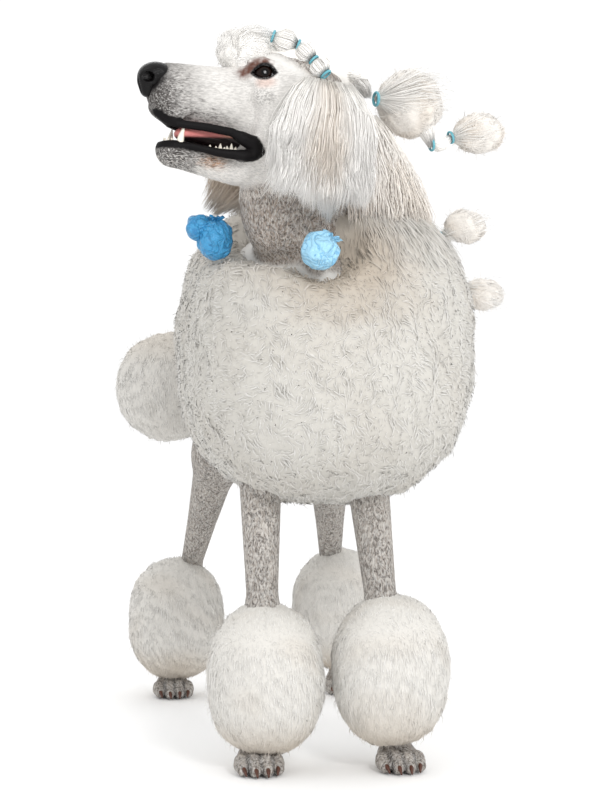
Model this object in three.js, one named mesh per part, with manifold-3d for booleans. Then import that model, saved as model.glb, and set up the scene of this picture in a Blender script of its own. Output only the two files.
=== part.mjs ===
// Standard poodle in a continental show clip, standing, with its head turned to its right.
// Life size, in millimetres, +Z up. The dog faces -Y, +X is its left, and z = 0 is the floor.
import * as THREE from "three";
import { LoftGeometry } from "three/addons/geometries/LoftGeometry.js";
import { mergeVertices } from "three/addons/utils/BufferGeometryUtils.js";
import Module from "manifold-3d";

const wasm = await Module();
wasm.setup();

const at = (x, y, z) => new THREE.Vector3(x, y, z);
const shifted = (p, x, y, z) => at(p.x + x, p.y + y, p.z + z);
const between = (a, b, t) => a.clone().lerp(b, t);
const mix = (a, b, t) => a + (b - a) * t;
const UP = at(0, 0, 1);
const BACK = at(0, 1, 0);

// Driving dimensions of the whole dog.
const GAP = 0.4;
const SLIVER = 0.15;
const HEAD_PLACE = at(-92, -290, 776);
const HEAD_YAW = THREE.MathUtils.degToRad(71.5);
const HEAD_PITCH = THREE.MathUtils.degToRad(4.4);
const CHEST = at(14, -130, 480);
const MANE_RADII = at(171, 232, 184);
const CROUP = at(0, 215, 490);
const NECK_FOOT = at(6, -185, 500);

// Colours of the coat, the shaved skin and what the dog wears.
const COLOUR = {
  coat: "#f1efeb",
  skin: "#b9b0a6",
  muzzle: "#6f6964",
  nose: "#15130f",
  tongue: "#c56a6a",
  eye: "#1c100a",
  wrap: "#5aa9d6",
  band: "#3f98a8",
};

// Repeatable random draws, so that like pieces differ a little.
let seed = 20;
function random() {
  seed = (seed * 16807) % 2147483647;
  return seed / 2147483647;
}

// Fields: below zero inside a form, and about a distance outside it.
function ball(centre, radii, power = 2) {
  return (p) => {
    const x = Math.abs(p.x - centre.x);
    const y = Math.abs(p.y - centre.y);
    const z = Math.abs(p.z - centre.z);
    const total = (x / radii.x) ** power + (y / radii.y) ** power + (z / radii.z) ** power;
    const scaled = total ** (1 / power);
    if (scaled < 1e-6) return -Math.min(radii.x, radii.y, radii.z);
    return (Math.hypot(x, y, z) / scaled) * (scaled - 1);
  };
}

function limb(from, to, fromRadius, toRadius) {
  const line = to.clone().sub(from);
  return (p) => {
    const offset = p.clone().sub(from);
    const t = THREE.MathUtils.clamp(offset.dot(line) / line.lengthSq(), 0, 1);
    return offset.addScaledVector(line, -t).length() - mix(fromRadius, toRadius, t);
  };
}

// A limb through several points, with a radius at each.
function chain(points, radii) {
  const limbs = points.slice(1).map((point, i) => limb(points[i], point, radii[i], radii[i + 1]));
  return (p) => Math.min(...limbs.map((field) => field(p)));
}

// The same form, taller about a level.
function taller(field, level, factor) {
  return (p) => field(at(p.x, p.y, level + (p.z - level) / factor));
}

// Forms that run into each other with a soft crease.
function blend(softness, ...fields) {
  return (p) =>
    fields
      .map((field) => field(p))
      .reduce((value, next) => {
        const h = Math.max(softness - Math.abs(value - next), 0) / softness;
        return Math.min(value, next) - (h * h * softness) / 4;
      });
}

// The distance along a ray from inside a form to its surface.
const STRIDE = 3;
const HALVINGS = 14;
function reach(field, origin, direction, grow) {
  const inside = (t) => field(origin.clone().addScaledVector(direction, t)) < grow;
  let far = STRIDE;
  while (inside(far)) far += STRIDE;
  let near = far - STRIDE;
  for (let i = 0; i < HALVINGS; i += 1) {
    const middle = (near + far) / 2;
    if (inside(middle)) near = middle;
    else far = middle;
  }
  return near;
}

// A ring of directions across a line, anticlockwise as seen from its far end.
function spokes(along, up, sides) {
  const side = along.clone().cross(up).normalize();
  const top = side.clone().cross(along).normalize();
  return Array.from({ length: sides }, (_, k) => {
    const angle = (2 * Math.PI * k) / sides;
    return side.clone().multiplyScalar(Math.cos(angle)).addScaledVector(top, -Math.sin(angle));
  });
}

// A closed surface round an axis: rings across it, and rings that tilt over its two ends.
const ROUND_ENDS = [66, 32].map(THREE.MathUtils.degToRad);
const SMALL_ENDS = [48].map(THREE.MathUtils.degToRad);
function skinOf({ field, axis, up = UP, rings, sides, ends = ROUND_ENDS }, grow = 0) {
  const curve = new THREE.CatmullRomCurve3(axis);
  const section = (t, tilt) => {
    const origin = curve.getPointAt(t);
    const along = curve.getTangentAt(t);
    return spokes(along, up, sides).map((out) => {
      const direction = out.multiplyScalar(Math.cos(tilt)).addScaledVector(along, Math.sin(tilt));
      return origin.clone().addScaledVector(direction, reach(field, origin, direction, grow));
    });
  };
  const sections = ends.map((tilt) => section(0, -tilt));
  for (let i = 0; i <= rings; i += 1) sections.push(section(i / rings, 0));
  sections.push(...[...ends].reverse().map((tilt) => section(1, tilt)));
  return loft(sections);
}

// A short tube through points that lie in a plane across the x axis, with a radius at each.
function tapered(points, radii, sides) {
  return loft(
    points.map((point, i) => {
      const along = points[Math.min(i + 1, points.length - 1)].clone().sub(points[Math.max(i - 1, 0)]);
      return spokes(along, at(1, 0, 0), sides).map((out) => point.clone().addScaledVector(out, radii[i]));
    }),
  );
}

// Solids that can be joined and cut.
function loft(sections, capped = true) {
  return solid(new LoftGeometry(sections, { capStart: capped, capEnd: capped }));
}

function solid(geometry) {
  const bare = new THREE.BufferGeometry();
  bare.setAttribute("position", geometry.getAttribute("position"));
  bare.setIndex(geometry.getIndex());
  const merged = mergeVertices(bare, 1e-4);
  const mesh = new wasm.Mesh({
    numProp: 3,
    vertProperties: new Float32Array(merged.getAttribute("position").array),
    triVerts: new Uint32Array(merged.getIndex().array),
  });
  return new wasm.Manifold(mesh);
}

const fused = (...solids) => solids.flat().reduce((whole, next) => whole.add(next));
const cut = (body, ...cutters) => cutters.reduce((rest, cutter) => rest.subtract(cutter), body);
const bothSides = (make) => [1, -1].map(make);

// The largest closed surface of a solid, as a geometry.
function geometryOf(body) {
  const [largest] = body.simplify(SLIVER).decompose().sort((a, b) => b.volume() - a.volume());
  const { numProp, vertProperties, triVerts } = largest.getMesh();
  const positions = new Float32Array((vertProperties.length / numProp) * 3);
  for (let i = 0; i < positions.length / 3; i += 1) {
    positions.set(vertProperties.subarray(i * numProp, i * numProp + 3), i * 3);
  }
  const geometry = new THREE.BufferGeometry();
  geometry.setAttribute("position", new THREE.BufferAttribute(positions, 3));
  geometry.setIndex(new THREE.BufferAttribute(new Uint32Array(triVerts), 1));
  return geometry;
}

// A rounded clump of fleece: its foot is sunk in the core, and it swells towards a blunt tip.
const CLUMP_PROFILE = [
  [0, 0.45],
  [0.7, 1],
  [1, 0.6],
];
const CLUMP_SIDES = 5;
function clump(foot, tip, radius, grow) {
  const along = tip.clone().sub(foot);
  const up = Math.abs(along.z) > 0.9 * along.length() ? BACK : UP;
  const around = spokes(along, up, CLUMP_SIDES);
  const sections = CLUMP_PROFILE.map(([t, share]) => {
    const centre = foot.clone().addScaledVector(along, t);
    return around.map((out) => centre.clone().addScaledVector(out, radius * share + grow));
  });
  return loft(sections);
}

// A flat lock: it leaves its root, bends over a middle point and tapers to its tip.
const LOCK_PROFILE = [
  [0, 0.62],
  [0.3, 1],
  [0.62, 0.86],
  [1, 0.16],
];
const LOCK_SIDES = 4;
const LOCK_THICKNESS = 0.5;
function lock({ root, middle, tip, radius, away }, grow) {
  const curve = new THREE.QuadraticBezierCurve3(root, middle, tip);
  const sections = LOCK_PROFILE.map(([t, share]) => {
    const centre = curve.getPointAt(t);
    const along = curve.getTangentAt(t);
    const broad = along.clone().cross(away).normalize();
    const thin = broad.clone().cross(along).normalize();
    return Array.from({ length: LOCK_SIDES }, (_, k) => {
      const angle = (2 * Math.PI * (k + 0.5)) / LOCK_SIDES;
      const size = radius * share + grow;
      return centre
        .clone()
        .addScaledVector(broad, size * Math.cos(angle))
        .addScaledVector(thin, -(size * LOCK_THICKNESS + grow) * Math.sin(angle));
    });
  });
  return loft(sections);
}

// The head is made in its own frame: x forward along the muzzle, y to its left, z up, eyes at x = 0.
const forward = at(
  -Math.sin(HEAD_YAW) * Math.cos(HEAD_PITCH),
  -Math.cos(HEAD_YAW) * Math.cos(HEAD_PITCH),
  Math.sin(HEAD_PITCH),
);
const leftward = at(Math.cos(HEAD_YAW), -Math.sin(HEAD_YAW), 0);
const upward = forward.clone().cross(leftward);
const HEAD = new THREE.Matrix4().makeBasis(forward, leftward, upward).setPosition(HEAD_PLACE);
const onHead = (x, y, z) => at(x, y, z).applyMatrix4(HEAD);
const turned = (body) => body.transform(HEAD.elements);

// Head: cranium, brow, bridge, muzzle, cheeks and the upper lips.
const upperLip = (side) =>
  chain(
    [
      at(104, side * 8, -63),
      at(90, side * 17, -70),
      at(62, side * 24, -72),
      at(32, side * 29, -74),
      at(9, side * 32, -82),
    ],
    [4, 5, 5, 5, 7],
  );
const skull = {
  field: blend(
    14,
    ball(at(-52, 0, -6), at(62, 47, 38)),
    ball(at(-10, 0, -4), at(34, 34, 20)),
    limb(at(12, 0, -21), at(98, 0, -23), 21, 17),
    taller(limb(at(16, 0, -40), at(84, 0, -39), 27, 21), -40, 1.28),
    ball(at(98, 0, -38), at(22, 18, 23)),
    ...bothSides((side) => ball(at(-26, side * 34, -30), at(36, 15, 22))),
    ...bothSides((side) => ball(at(-36, side * 32, -66), at(38, 17, 40))),
    ...bothSides(upperLip),
    ball(at(-24, 0, -62), at(36, 38, 58)),
    limb(at(2, 0, -100), at(-50, 0, -88), 25, 32),
  ),
  axis: [at(-84, 0, -14), at(-40, 0, -24), at(10, 0, -34), at(60, 0, -38), at(98, 0, -38)],
  rings: 14,
  sides: 16,
};

// Lower jaw with its lips.
const lowerLip = (side) =>
  chain(
    [at(94, side * 7, -93), at(78, side * 17, -91), at(44, side * 25, -95), at(14, side * 30, -96)],
    [4, 4.5, 5, 6],
  );
const jaw = {
  field: blend(
    10,
    limb(at(86, 0, -101), at(14, 0, -106), 14, 19),
    ball(at(88, 0, -98), at(15, 15, 12)),
    ...bothSides(lowerLip),
  ),
  axis: [at(6, 0, -107), at(40, 0, -105), at(88, 0, -100)],
  rings: 7,
  sides: 12,
};

// The hollow of the mouth.
const mouth = {
  field: ball(at(56, 0, -79), at(48, 17, 17)),
  axis: [at(34, 0, -79), at(78, 0, -79)],
  rings: 3,
  sides: 8,
  ends: SMALL_ENDS,
};

// Eyes, with a rim of lid round each.
const EYE_RADIUS = 11;
const eyeCentre = (side) => at(-2, side * 27, -6);
const eyeball = (side) => ({
  field: ball(eyeCentre(side), at(EYE_RADIUS, EYE_RADIUS, EYE_RADIUS)),
  axis: [shifted(eyeCentre(side), -3, 0, 0), shifted(eyeCentre(side), 3, 0, 0)],
  rings: 1,
  sides: 8,
});
const LID = { halfWidth: 12.5, halfHeight: 7, out: 8.2, cornerDrop: 3, thickness: 2.4, steps: 8, sides: 4 };
function lids(side, grow) {
  const gaze = at(0.32, side * 0.94, 0).normalize();
  const across = at(gaze.y, -gaze.x, 0);
  const rim = Array.from({ length: LID.steps }, (_, i) => {
    const turn = (2 * Math.PI * i) / LID.steps;
    return eyeCentre(side)
      .addScaledVector(across, LID.halfWidth * Math.cos(turn))
      .addScaledVector(UP, LID.halfHeight * Math.sin(turn))
      .addScaledVector(gaze, LID.out - LID.cornerDrop * Math.abs(Math.cos(turn)));
  });
  const sections = rim.map((point, i) => {
    const along = rim[(i + 1) % LID.steps].clone().sub(rim.at(i - 1));
    const around = spokes(along, gaze, LID.sides);
    return around.map((out) => point.clone().addScaledVector(out, LID.thickness + grow));
  });
  return loft([...sections, sections[0]], false);
}

// Nose pad with a comma-shaped nostril on each side.
const nosePad = {
  field: blend(8, ball(at(111, 0, -20), at(17, 17, 13)), ball(at(121, 0, -28), at(9, 12, 11))),
  axis: [at(105, 0, -21), at(119, 0, -25)],
  rings: 2,
  sides: 12,
};
const nostril = (side) => ({
  field: chain([at(132, side * 9, -26), at(122, side * 13, -25), at(112, side * 19, -28)], [4.5, 4, 1.6]),
  axis: [at(131, side * 9, -26), at(122, side * 13, -25), at(114, side * 18, -27.4)],
  rings: 2,
  sides: 6,
  ends: SMALL_ENDS,
});

// Teeth of the lower jaw: a canine on each side, the incisors between them, and molars behind.
const CANINE = { x: 84, y: 15.5, foot: -93, top: -72, radius: 4 };
const INCISOR = { x: 93, foot: -94, top: -84.5, radius: 2.7, places: [-7.5, -2.6, 2.6, 7.5], arc: 0.06 };
const MOLAR = { y: 20.5, foot: -98, top: -86, radius: 5, places: [28, 41] };
const TOOTH_SIDES = 5;
function tooth(foot, tip, radius, grow) {
  const ring = (centre, size) =>
    Array.from({ length: TOOTH_SIDES }, (_, k) => {
      const angle = (2 * Math.PI * k) / TOOTH_SIDES;
      return shifted(centre, size * Math.cos(angle), size * Math.sin(angle), 0);
    });
  return loft([
    ring(foot, radius + grow),
    ring(between(foot, tip, 0.5), radius * 0.8 + grow),
    ring(tip, radius * 0.2 + grow),
  ]);
}
function teeth(grow) {
  const canines = bothSides((side) => {
    const foot = at(CANINE.x, side * CANINE.y, CANINE.foot);
    return tooth(foot, at(CANINE.x - 1, side * (CANINE.y + 3), CANINE.top), CANINE.radius, grow);
  });
  const incisors = INCISOR.places.map((y) => {
    const x = INCISOR.x - INCISOR.arc * y * y;
    return tooth(at(x, y, INCISOR.foot), at(x + 2, y, INCISOR.top), INCISOR.radius, grow);
  });
  const molars = bothSides((side) =>
    MOLAR.places.map((x) =>
      tooth(at(x, side * MOLAR.y, MOLAR.foot), at(x, side * (MOLAR.y - 1), MOLAR.top), MOLAR.radius, grow),
    ),
  );
  return fused(canines, incisors, molars.flat());
}

const tongueForm = {
  field: taller(limb(at(14, 0, -93), at(64, 0, -85), 15, 13), -88, 0.55),
  axis: [at(18, 0, -92), at(60, 0, -86)],
  rings: 3,
  sides: 8,
  ends: SMALL_ENDS,
};

// Neck: the shaved throat with its fold of skin, from the skull to the chest.
const neck = {
  field: blend(
    24,
    chain([at(-28, -262, 700), at(-12, -232, 620), NECK_FOOT], [58, 66, 84]),
    ball(at(-54, -262, 652), at(46, 50, 46)),
    chain([onHead(-30, 16, -112), at(-36, -300, 610), at(-12, -286, 540)], [10, 9, 8]),
  ),
  axis: [at(-30, -252, 704), at(-12, -232, 620), at(2, -195, 520)],
  up: at(0, -1, 0),
  rings: 6,
  sides: 12,
};

// Hindquarters: loin, croup and belly behind the mane.
const loin = {
  field: blend(
    40,
    ball(at(0, 110, 492), at(70, 140, 78)),
    ball(CROUP, at(76, 72, 80)),
    ball(at(0, 30, 478), at(78, 90, 92)),
  ),
  axis: [at(0, -10, 480), at(0, 110, 490), at(0, 215, 492)],
  rings: 7,
  sides: 14,
};

// Legs: the joints of each, from the shoulder or hip to the paw on the floor.
const front = (elbow, wrist, ankle, paw) => ({ elbow, wrist, ankle, paw });
const FRONT = {
  left: front(at(56, -190, 345), at(68, -226, 175), at(78, -236, 70), at(86, -224, 0)),
  right: front(at(-66, -180, 345), at(-67, -207, 175), at(-70, -212, 70), at(-74, -214, 0)),
};
const hind = (hip, knee, hock, paw) => ({ hip, knee, hock, paw });
const HIND = {
  left: hind(at(62, 222, 440), at(84, 200, 345), at(110, 326, 170), at(122, 304, 0)),
  right: hind(at(-56, 222, 440), at(-68, 200, 345), at(-95, 328, 170), at(-120, 312, 0)),
};

function foreleg({ elbow, wrist, ankle, paw }) {
  const line = [shifted(elbow, 0, 18, 60), elbow, wrist, ankle, shifted(paw, 0, 8, 34)];
  return {
    field: blend(14, chain(line, [34, 27, 20, 17.5, 17]), ball(wrist, at(21, 22, 26))),
    axis: line,
    up: at(0, -1, 0),
    rings: 8,
    sides: 8,
    ends: SMALL_ENDS,
  };
}

function hindLeg({ hip, knee, hock, paw }) {
  const ankle = shifted(paw, 0, 12, 32);
  return {
    field: blend(
      26,
      ball(shifted(hip, 0, 0, -30), at(36, 70, 96)),
      chain([hip, knee], [36, 33]),
      chain([knee, between(knee, hock, 0.55), hock], [32, 21, 14]),
      chain([shifted(hock, 0, 12, 6), hock, ankle], [9, 15, 16]),
    ),
    axis: [hip, shifted(knee, 0, 14, 10), between(knee, hock, 0.5), hock, ankle],
    up: at(0, -1, 0),
    rings: 9,
    sides: 9,
    ends: SMALL_ENDS,
  };
}

// Paws: a pad, four arched toes with gaps between them, and a claw on each toe.
const TOES = [
  { x: -20, y: -14, knuckle: 17 },
  { x: -7, y: -23, knuckle: 19 },
  { x: 7, y: -23, knuckle: 19 },
  { x: 20, y: -14, knuckle: 17 },
];
const TOE = { length: 11, radius: 9.5, back: 16, clawLength: 8 };
function toe({ x, y, knuckle }, place, grow) {
  const points = [
    shifted(place, x * 0.7, y + TOE.back, 17),
    shifted(place, x, y, knuckle - 6),
    shifted(place, x, y - TOE.length - 2, 7),
  ];
  return tapered(points, [9 + grow, TOE.radius + grow, 6.5 + grow], 5);
}
function claw({ x, y }, place, grow) {
  const foot = shifted(place, x, y - TOE.length, 10);
  return tapered([foot, shifted(foot, 0, -TOE.clawLength, -5)], [4 + grow, 1 + grow], 4);
}
const pad = (place) => ({
  field: blend(
    12,
    ball(shifted(place, 0, 8, 14), at(23, 24, 20)),
    ball(shifted(place, 0, 6, 3), at(20, 22, 9)),
  ),
  axis: [shifted(place, 0, 16, 14), shifted(place, 0, -4, 12)],
  rings: 1,
  sides: 8,
  ends: SMALL_ENDS,
});
function paw(place, grow) {
  const toes = TOES.map((shape) => toe(shape, place, grow));
  const claws = TOES.map((shape) => claw(shape, place, grow));
  return fused(skinOf(pad(place), grow), toes, claws).trimByPlane([0, 0, 1], 0);
}

// Tail: it rises from the croup and swings to the dog's right, with a pompon at its end.
const TAIL_LINE = [at(0, 262, 530), at(-42, 318, 548), at(-92, 352, 522), at(-114, 366, 486)];
const tail = {
  field: chain(TAIL_LINE, [18, 15, 12, 11]),
  axis: TAIL_LINE,
  rings: 5,
  sides: 8,
  ends: SMALL_ENDS,
};

// Fleece: a core with rounded clumps set close over it. radii reach out to the tips, and core is
// the share of them that the core fills, at most half way from the flesh to the tips.
const FLEECE = {
  torso_mane: { centre: CHEST, radii: MANE_RADII, core: 0.76, clumps: 70, power: 2.5 },
  bracelet_front_left: { centre: at(77, -228, 114), radii: at(69, 69, 88), core: 0.62, clumps: 11 },
  bracelet_front_right: { centre: at(-64, -209, 104), radii: at(69, 69, 88), core: 0.62, clumps: 11 },
  bracelet_hind_left: { centre: at(120, 312, 118), radii: at(69, 69, 88), core: 0.62, clumps: 11 },
  bracelet_hind_right: { centre: at(-114, 318, 108), radii: at(69, 69, 88), core: 0.62, clumps: 11 },
  tail_pompon: { centre: at(-117, 367, 436), radii: at(80, 80, 80), core: 0.62, clumps: 12 },
};
const CLUMP_SHARE = 0.45;
const GOLDEN_ANGLE = Math.PI * (3 - Math.sqrt(5));
const SUNK = 0.07;

// Evenly spread points over a rounded outline.
function spreadOver({ centre, radii, clumps, power = 2 }) {
  return Array.from({ length: clumps }, (_, i) => {
    const height = 1 - (2 * i + 1) / clumps;
    const round = Math.sqrt(1 - height * height);
    const turn = GOLDEN_ANGLE * i;
    const ray = at(round * Math.cos(turn), height, round * Math.sin(turn));
    const total = Math.abs(ray.x) ** power + Math.abs(ray.y) ** power + Math.abs(ray.z) ** power;
    const offset = ray.clone().divideScalar(total ** (1 / power)).multiply(radii);
    return centre.clone().add(offset);
  });
}

// The mean distance from a point to its closest neighbours.
const NEIGHBOURS = 4;
function spacing(point, points) {
  const distances = points.map((other) => other.distanceTo(point)).sort((a, b) => a - b);
  return distances.slice(1, NEIGHBOURS + 1).reduce((sum, next) => sum + next / NEIGHBOURS, 0);
}

function fleece(shape, variations, grow) {
  const { centre, radii, core, power = 2 } = shape;
  const coreForm = {
    field: ball(centre, radii.clone().multiplyScalar(core), power),
    axis: [shifted(centre, 0, 0, -radii.z * 0.25), shifted(centre, 0, 0, radii.z * 0.25)],
    up: BACK,
    rings: 2,
    sides: 10,
    ends: SMALL_ENDS,
  };
  const tips = spreadOver(shape);
  const clumps = tips.map((tip, i) => {
    const foot = between(centre, tip, core - SUNK);
    return clump(foot, between(centre, tip, variations[i]), CLUMP_SHARE * spacing(tip, tips), grow);
  });
  return fused(skinOf(coreForm, grow), clumps);
}

// Hair of the head and neck. A core is a small mass, and locks lie over it from roots to tips.
const fan = (count, make) => Array.from({ length: count }, (_, i) => make(i / (count - 1)));

// Ear: a leather flap, hollow on its inner side, with two tiers of long locks over its outer side.
const EAR = { top: -12, bottom: -132, width: 38, bulge: 13, leather: 7, middle: -62, out: 52 };
function earFlap(side, grow) {
  const steps = 5;
  const arc = 5;
  const sections = Array.from({ length: steps }, (_, i) => {
    const t = i / (steps - 1);
    const width = EAR.width * Math.sin(Math.PI * mix(0.24, 0.9, t)) + grow;
    const x = mix(EAR.middle - 10, EAR.middle + 26, t);
    const z = mix(EAR.top, EAR.bottom, t);
    const outer = [];
    const inner = [];
    for (let k = 0; k < arc; k += 1) {
      const angle = Math.PI * (k / (arc - 1));
      const out = EAR.out + 8 * t + EAR.bulge * Math.sin(angle);
      outer.push(onHead(x + width * Math.cos(angle), side * (out + grow), z));
      inner.push(onHead(x + width * Math.cos(angle), side * (out - EAR.leather - grow), z));
    }
    const loop = [...outer, ...inner.reverse()];
    return side > 0 ? loop.reverse() : loop;
  });
  return loft(sections);
}
const EAR_GATHER = { 1: [-66, 82, -172], [-1]: [14, -58, -160] };
const earLocks = (side) => {
  const outward = onHead(0, side, 0).sub(onHead(0, 0, 0));
  const [gatherX, gatherY, gatherZ] = EAR_GATHER[side];
  const front = side > 0 ? 22 : 12;
  const under = fan(5, (t) => {
    const pull = Math.sin(Math.PI * t) ** 2;
    return {
      root: onHead(mix(-44, -92, t), side * 58, -18),
      middle: onHead(mix(4, -112, t), side * 88, mix(-40, -70, t)),
      tip: onHead(
        mix(mix(front, -112, t), gatherX, pull),
        mix(side * 78, gatherY, pull),
        mix(-132, gatherZ, pull),
      ),
      radius: 19,
      away: outward,
    };
  });
  const over = fan(3, (t) => ({
    root: onHead(mix(-50, -88, t), side * 60, -10),
    middle: onHead(mix(-14, -110, t), side * 98, mix(-26, -50, t)),
    tip: onHead(mix(0, -102, t), side * 92, mix(-88, -112, t)),
    radius: 19,
    away: outward,
  }));
  return [...under, ...over];
};
const ear = (side) => (grow) => {
  const locks = earLocks(side).map((shape) => lock(shape, grow));
  return fused(earFlap(side, grow), locks);
};

// Masses of hair with a core: locks run over the core from a root to a fan of tips. The tufts
// that are tied run from an elastic to their end.
const tied = (from, to, girth) => ({ from, to, girth, count: 5, radius: girth * 0.5 });
const HAIR = {
  forelock: {
    core: {
      field: ball(onHead(4, 0, 18), at(26, 22, 13)),
      axis: [onHead(12, 0, 18), onHead(-6, 0, 20)],
    },
    locks: fan(4, (t) => ({
      root: onHead(-10, mix(-11, 11, t), 26),
      middle: onHead(30, mix(-42, 42, t), 68),
      tip: onHead(mix(22, 34, Math.sin(Math.PI * t)), mix(-27, 27, t), 7),
      radius: 21,
      away: onHead(1, 0, 1).sub(onHead(0, 0, 0)),
    })),
  },
  topknot: {
    core: {
      field: blend(
        14,
        ball(onHead(-56, 0, 24), at(34, 24, 20)),
        ball(onHead(-104, 0, 6), at(28, 26, 26)),
      ),
      axis: [onHead(-50, 0, 22), onHead(-104, 0, 6)],
    },
    locks: fan(5, (t) => ({
      root: onHead(-24, mix(-10, 10, t), 30),
      middle: onHead(-84, mix(-44, 44, t), mix(44, 62, Math.sin(Math.PI * t))),
      tip: onHead(-146, mix(-6, 18, t), mix(-10, -2, Math.sin(Math.PI * t))),
      radius: 20,
      away: onHead(0, mix(-0.8, 0.8, t), 1).sub(onHead(0, 0, 0)),
    })),
  },
  neck_coat: {
    core: {
      field: blend(
        26,
        ball(at(56, -222, 690), at(56, 48, 50)),
        ball(at(58, -188, 620), at(62, 60, 64)),
      ),
      axis: [at(58, -225, 700), at(60, -205, 650), at(60, -190, 606)],
    },
    locks: [
      ...fan(5, (t) => ({
        root: at(mix(-6, 92, t), mix(-268, -196, t), 738),
        middle: at(mix(38, 160, t), mix(-330, -196, t), 700),
        tip: at(mix(40, 148, t), mix(-322, -190, t), mix(596, 620, t)),
        radius: 22,
        away: at(0.7, -0.7, 0),
      })),
      ...fan(4, (t) => ({
        root: at(mix(30, 96, t), mix(-262, -150, t), 672),
        middle: at(mix(74, 164, t), mix(-318, -150, t), 640),
        tip: at(mix(66, 152, t), mix(-306, -140, t), 560),
        radius: 23,
        away: at(0.7, -0.7, 0),
      })),
      ...fan(3, (t) => ({
        root: at(mix(96, 20, t), mix(-196, -140, t), 732),
        middle: at(mix(150, 40, t), mix(-140, -70, t), 700),
        tip: at(mix(150, 40, t), mix(-110, -60, t), 600),
        radius: 23,
        away: at(0.4, 0.9, 0),
      })),
    ],
  },
  crown_tuft: {
    core: {
      field: blend(
        12,
        ball(at(102, -212, 762), at(28, 20, 18)),
        limb(at(66, -244, 754), at(122, -220, 718), 8, 9),
      ),
      axis: [at(90, -220, 760), at(116, -212, 758)],
    },
    strand: {
      points: [
        at(98, -217, 756),
        at(117, -219, 727),
        at(127, -218, 712),
        at(140, -212, 709),
        at(152, -204, 723),
      ],
      radii: [10, 8, 3.6, 6, 3.4],
    },
    locks: fan(6, (t) => {
      const turn = 2 * Math.PI * t * 0.833;
      return {
        root: at(64, -244, 757),
        middle: at(98, -226 + 52 * Math.cos(turn), 770 + 50 * Math.sin(turn)),
        tip: at(140 + 8 * Math.sin(turn), -206 + 22 * Math.cos(turn), 752 + 30 * Math.sin(turn)),
        radius: 20,
        away: at(0, Math.cos(turn), Math.sin(turn)),
      };
    }),
  },
  crown_tuft_end: { tuft: tied(at(158, -203, 724), at(216, -186, 734), 26) },
  nape_tuft_upper: { tuft: tied(at(146, -199, 611), at(200, -192, 630), 22) },
  nape_tuft_lower: { tuft: tied(at(172, -199, 547), at(226, -192, 538), 20) },
};

// A tuft past an elastic: a narrow foot, and locks that swell out round it and end in a brush.
function tuft({ from, to, girth, count, radius }, grow) {
  const line = to.clone().sub(from);
  const core = limb(between(from, to, 0.12), between(from, to, 0.6), 5, girth * 0.42);
  const around = spokes(line, UP, count);
  const locks = around.map((out, i) =>
    lock(
      {
        root: between(from, to, 0.04 * (i % 2)).addScaledVector(out, 2),
        middle: between(from, to, 0.45).addScaledVector(out, girth * 1.35),
        tip: between(from, to, 0.94 + 0.06 * (i % 3)).addScaledVector(out, girth * 0.62),
        radius,
        away: out,
      },
      grow,
    ),
  );
  const coreForm = {
    field: core,
    axis: [between(from, to, 0.15), between(from, to, 0.55)],
    rings: 2,
    sides: 7,
    ends: SMALL_ENDS,
  };
  return fused(skinOf(coreForm, grow), locks);
}

const hair = (name) => (grow) => {
  const { core, locks, strand, tuft: shape } = HAIR[name];
  if (shape) return tuft(shape, grow);
  const up = at(0.1, 0.1, 1).normalize();
  const parts = locks.map((one) => lock(one, grow));
  if (strand) parts.push(tapered(strand.points, strand.radii.map((radius) => radius + grow), 6));
  return fused(skinOf({ ...core, up, rings: 4, sides: 9, ends: SMALL_ENDS }, grow), parts);
};

// Braid down each side of the head: puffs of hair between elastics.
const BRAID_BANDS = [
  { x: -15, y: 18, z: 39, radius: 6 },
  { x: -40, y: 30, z: 31, radius: 6 },
  { x: -54, y: 42, z: 15, radius: 7 },
  { x: -65, y: 51, z: 0, radius: 7 },
];
const braidPoint = (side, { x, y, z }) => at(x, side * y, z);
const PUFF_PROFILE = [
  [-0.06, 3.5],
  [0.12, 3.5],
  [0.34, 10.5],
  [0.66, 11],
  [0.88, 3.7],
  [1.06, 3.4],
];
const braid = (side) => (grow) => {
  const points = BRAID_BANDS.map((place) => braidPoint(side, place));
  const puffs = points.slice(1).map((point, i) => {
    const around = spokes(point.clone().sub(points[i]), UP, 5);
    return loft(
      PUFF_PROFILE.map(([t, radius]) => {
        const centre = between(points[i], point, t);
        return around.map((out) => centre.clone().addScaledVector(out, radius + grow));
      }),
    );
  });
  return turned(fused(puffs));
};

// Elastics: a thin ring round the hair at each place.
const BAND_THICKNESS = 1.8;
const BANDS = {
  band_crown: { centre: at(56, -247, 758), along: at(1, 0.2, 0), radius: 10 },
  band_tuft: { centre: at(127, -218, 712), along: at(1, 0.1, -1.1), radius: 7 },
  band_tuft_end: { centre: at(153, -204, 723), along: at(1, 0.2, 0.3), radius: 7 },
  band_nape_upper: { centre: at(142, -200, 609), along: at(1, 0.1, 0.4), radius: 6 },
  band_nape_lower: { centre: at(167, -200, 548), along: at(1, 0.1, -0.2), radius: 6 },
};
for (const side of [1, -1]) {
  BRAID_BANDS.forEach((place, i) => {
    const centre = braidPoint(side, place).applyMatrix4(HEAD);
    const next = braidPoint(side, BRAID_BANDS[i ? i - 1 : 1]).applyMatrix4(HEAD);
    const name = `band_braid_${side > 0 ? "left" : "right"}_${i + 1}`;
    BANDS[name] = { centre, along: next.sub(centre), radius: place.radius };
  });
}
function band({ centre, along, radius }, grow) {
  const ring = new THREE.TorusGeometry(radius, BAND_THICKNESS + grow, 4, 7);
  ring.lookAt(along);
  ring.translate(centre.x, centre.y, centre.z);
  return solid(ring);
}

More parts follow.
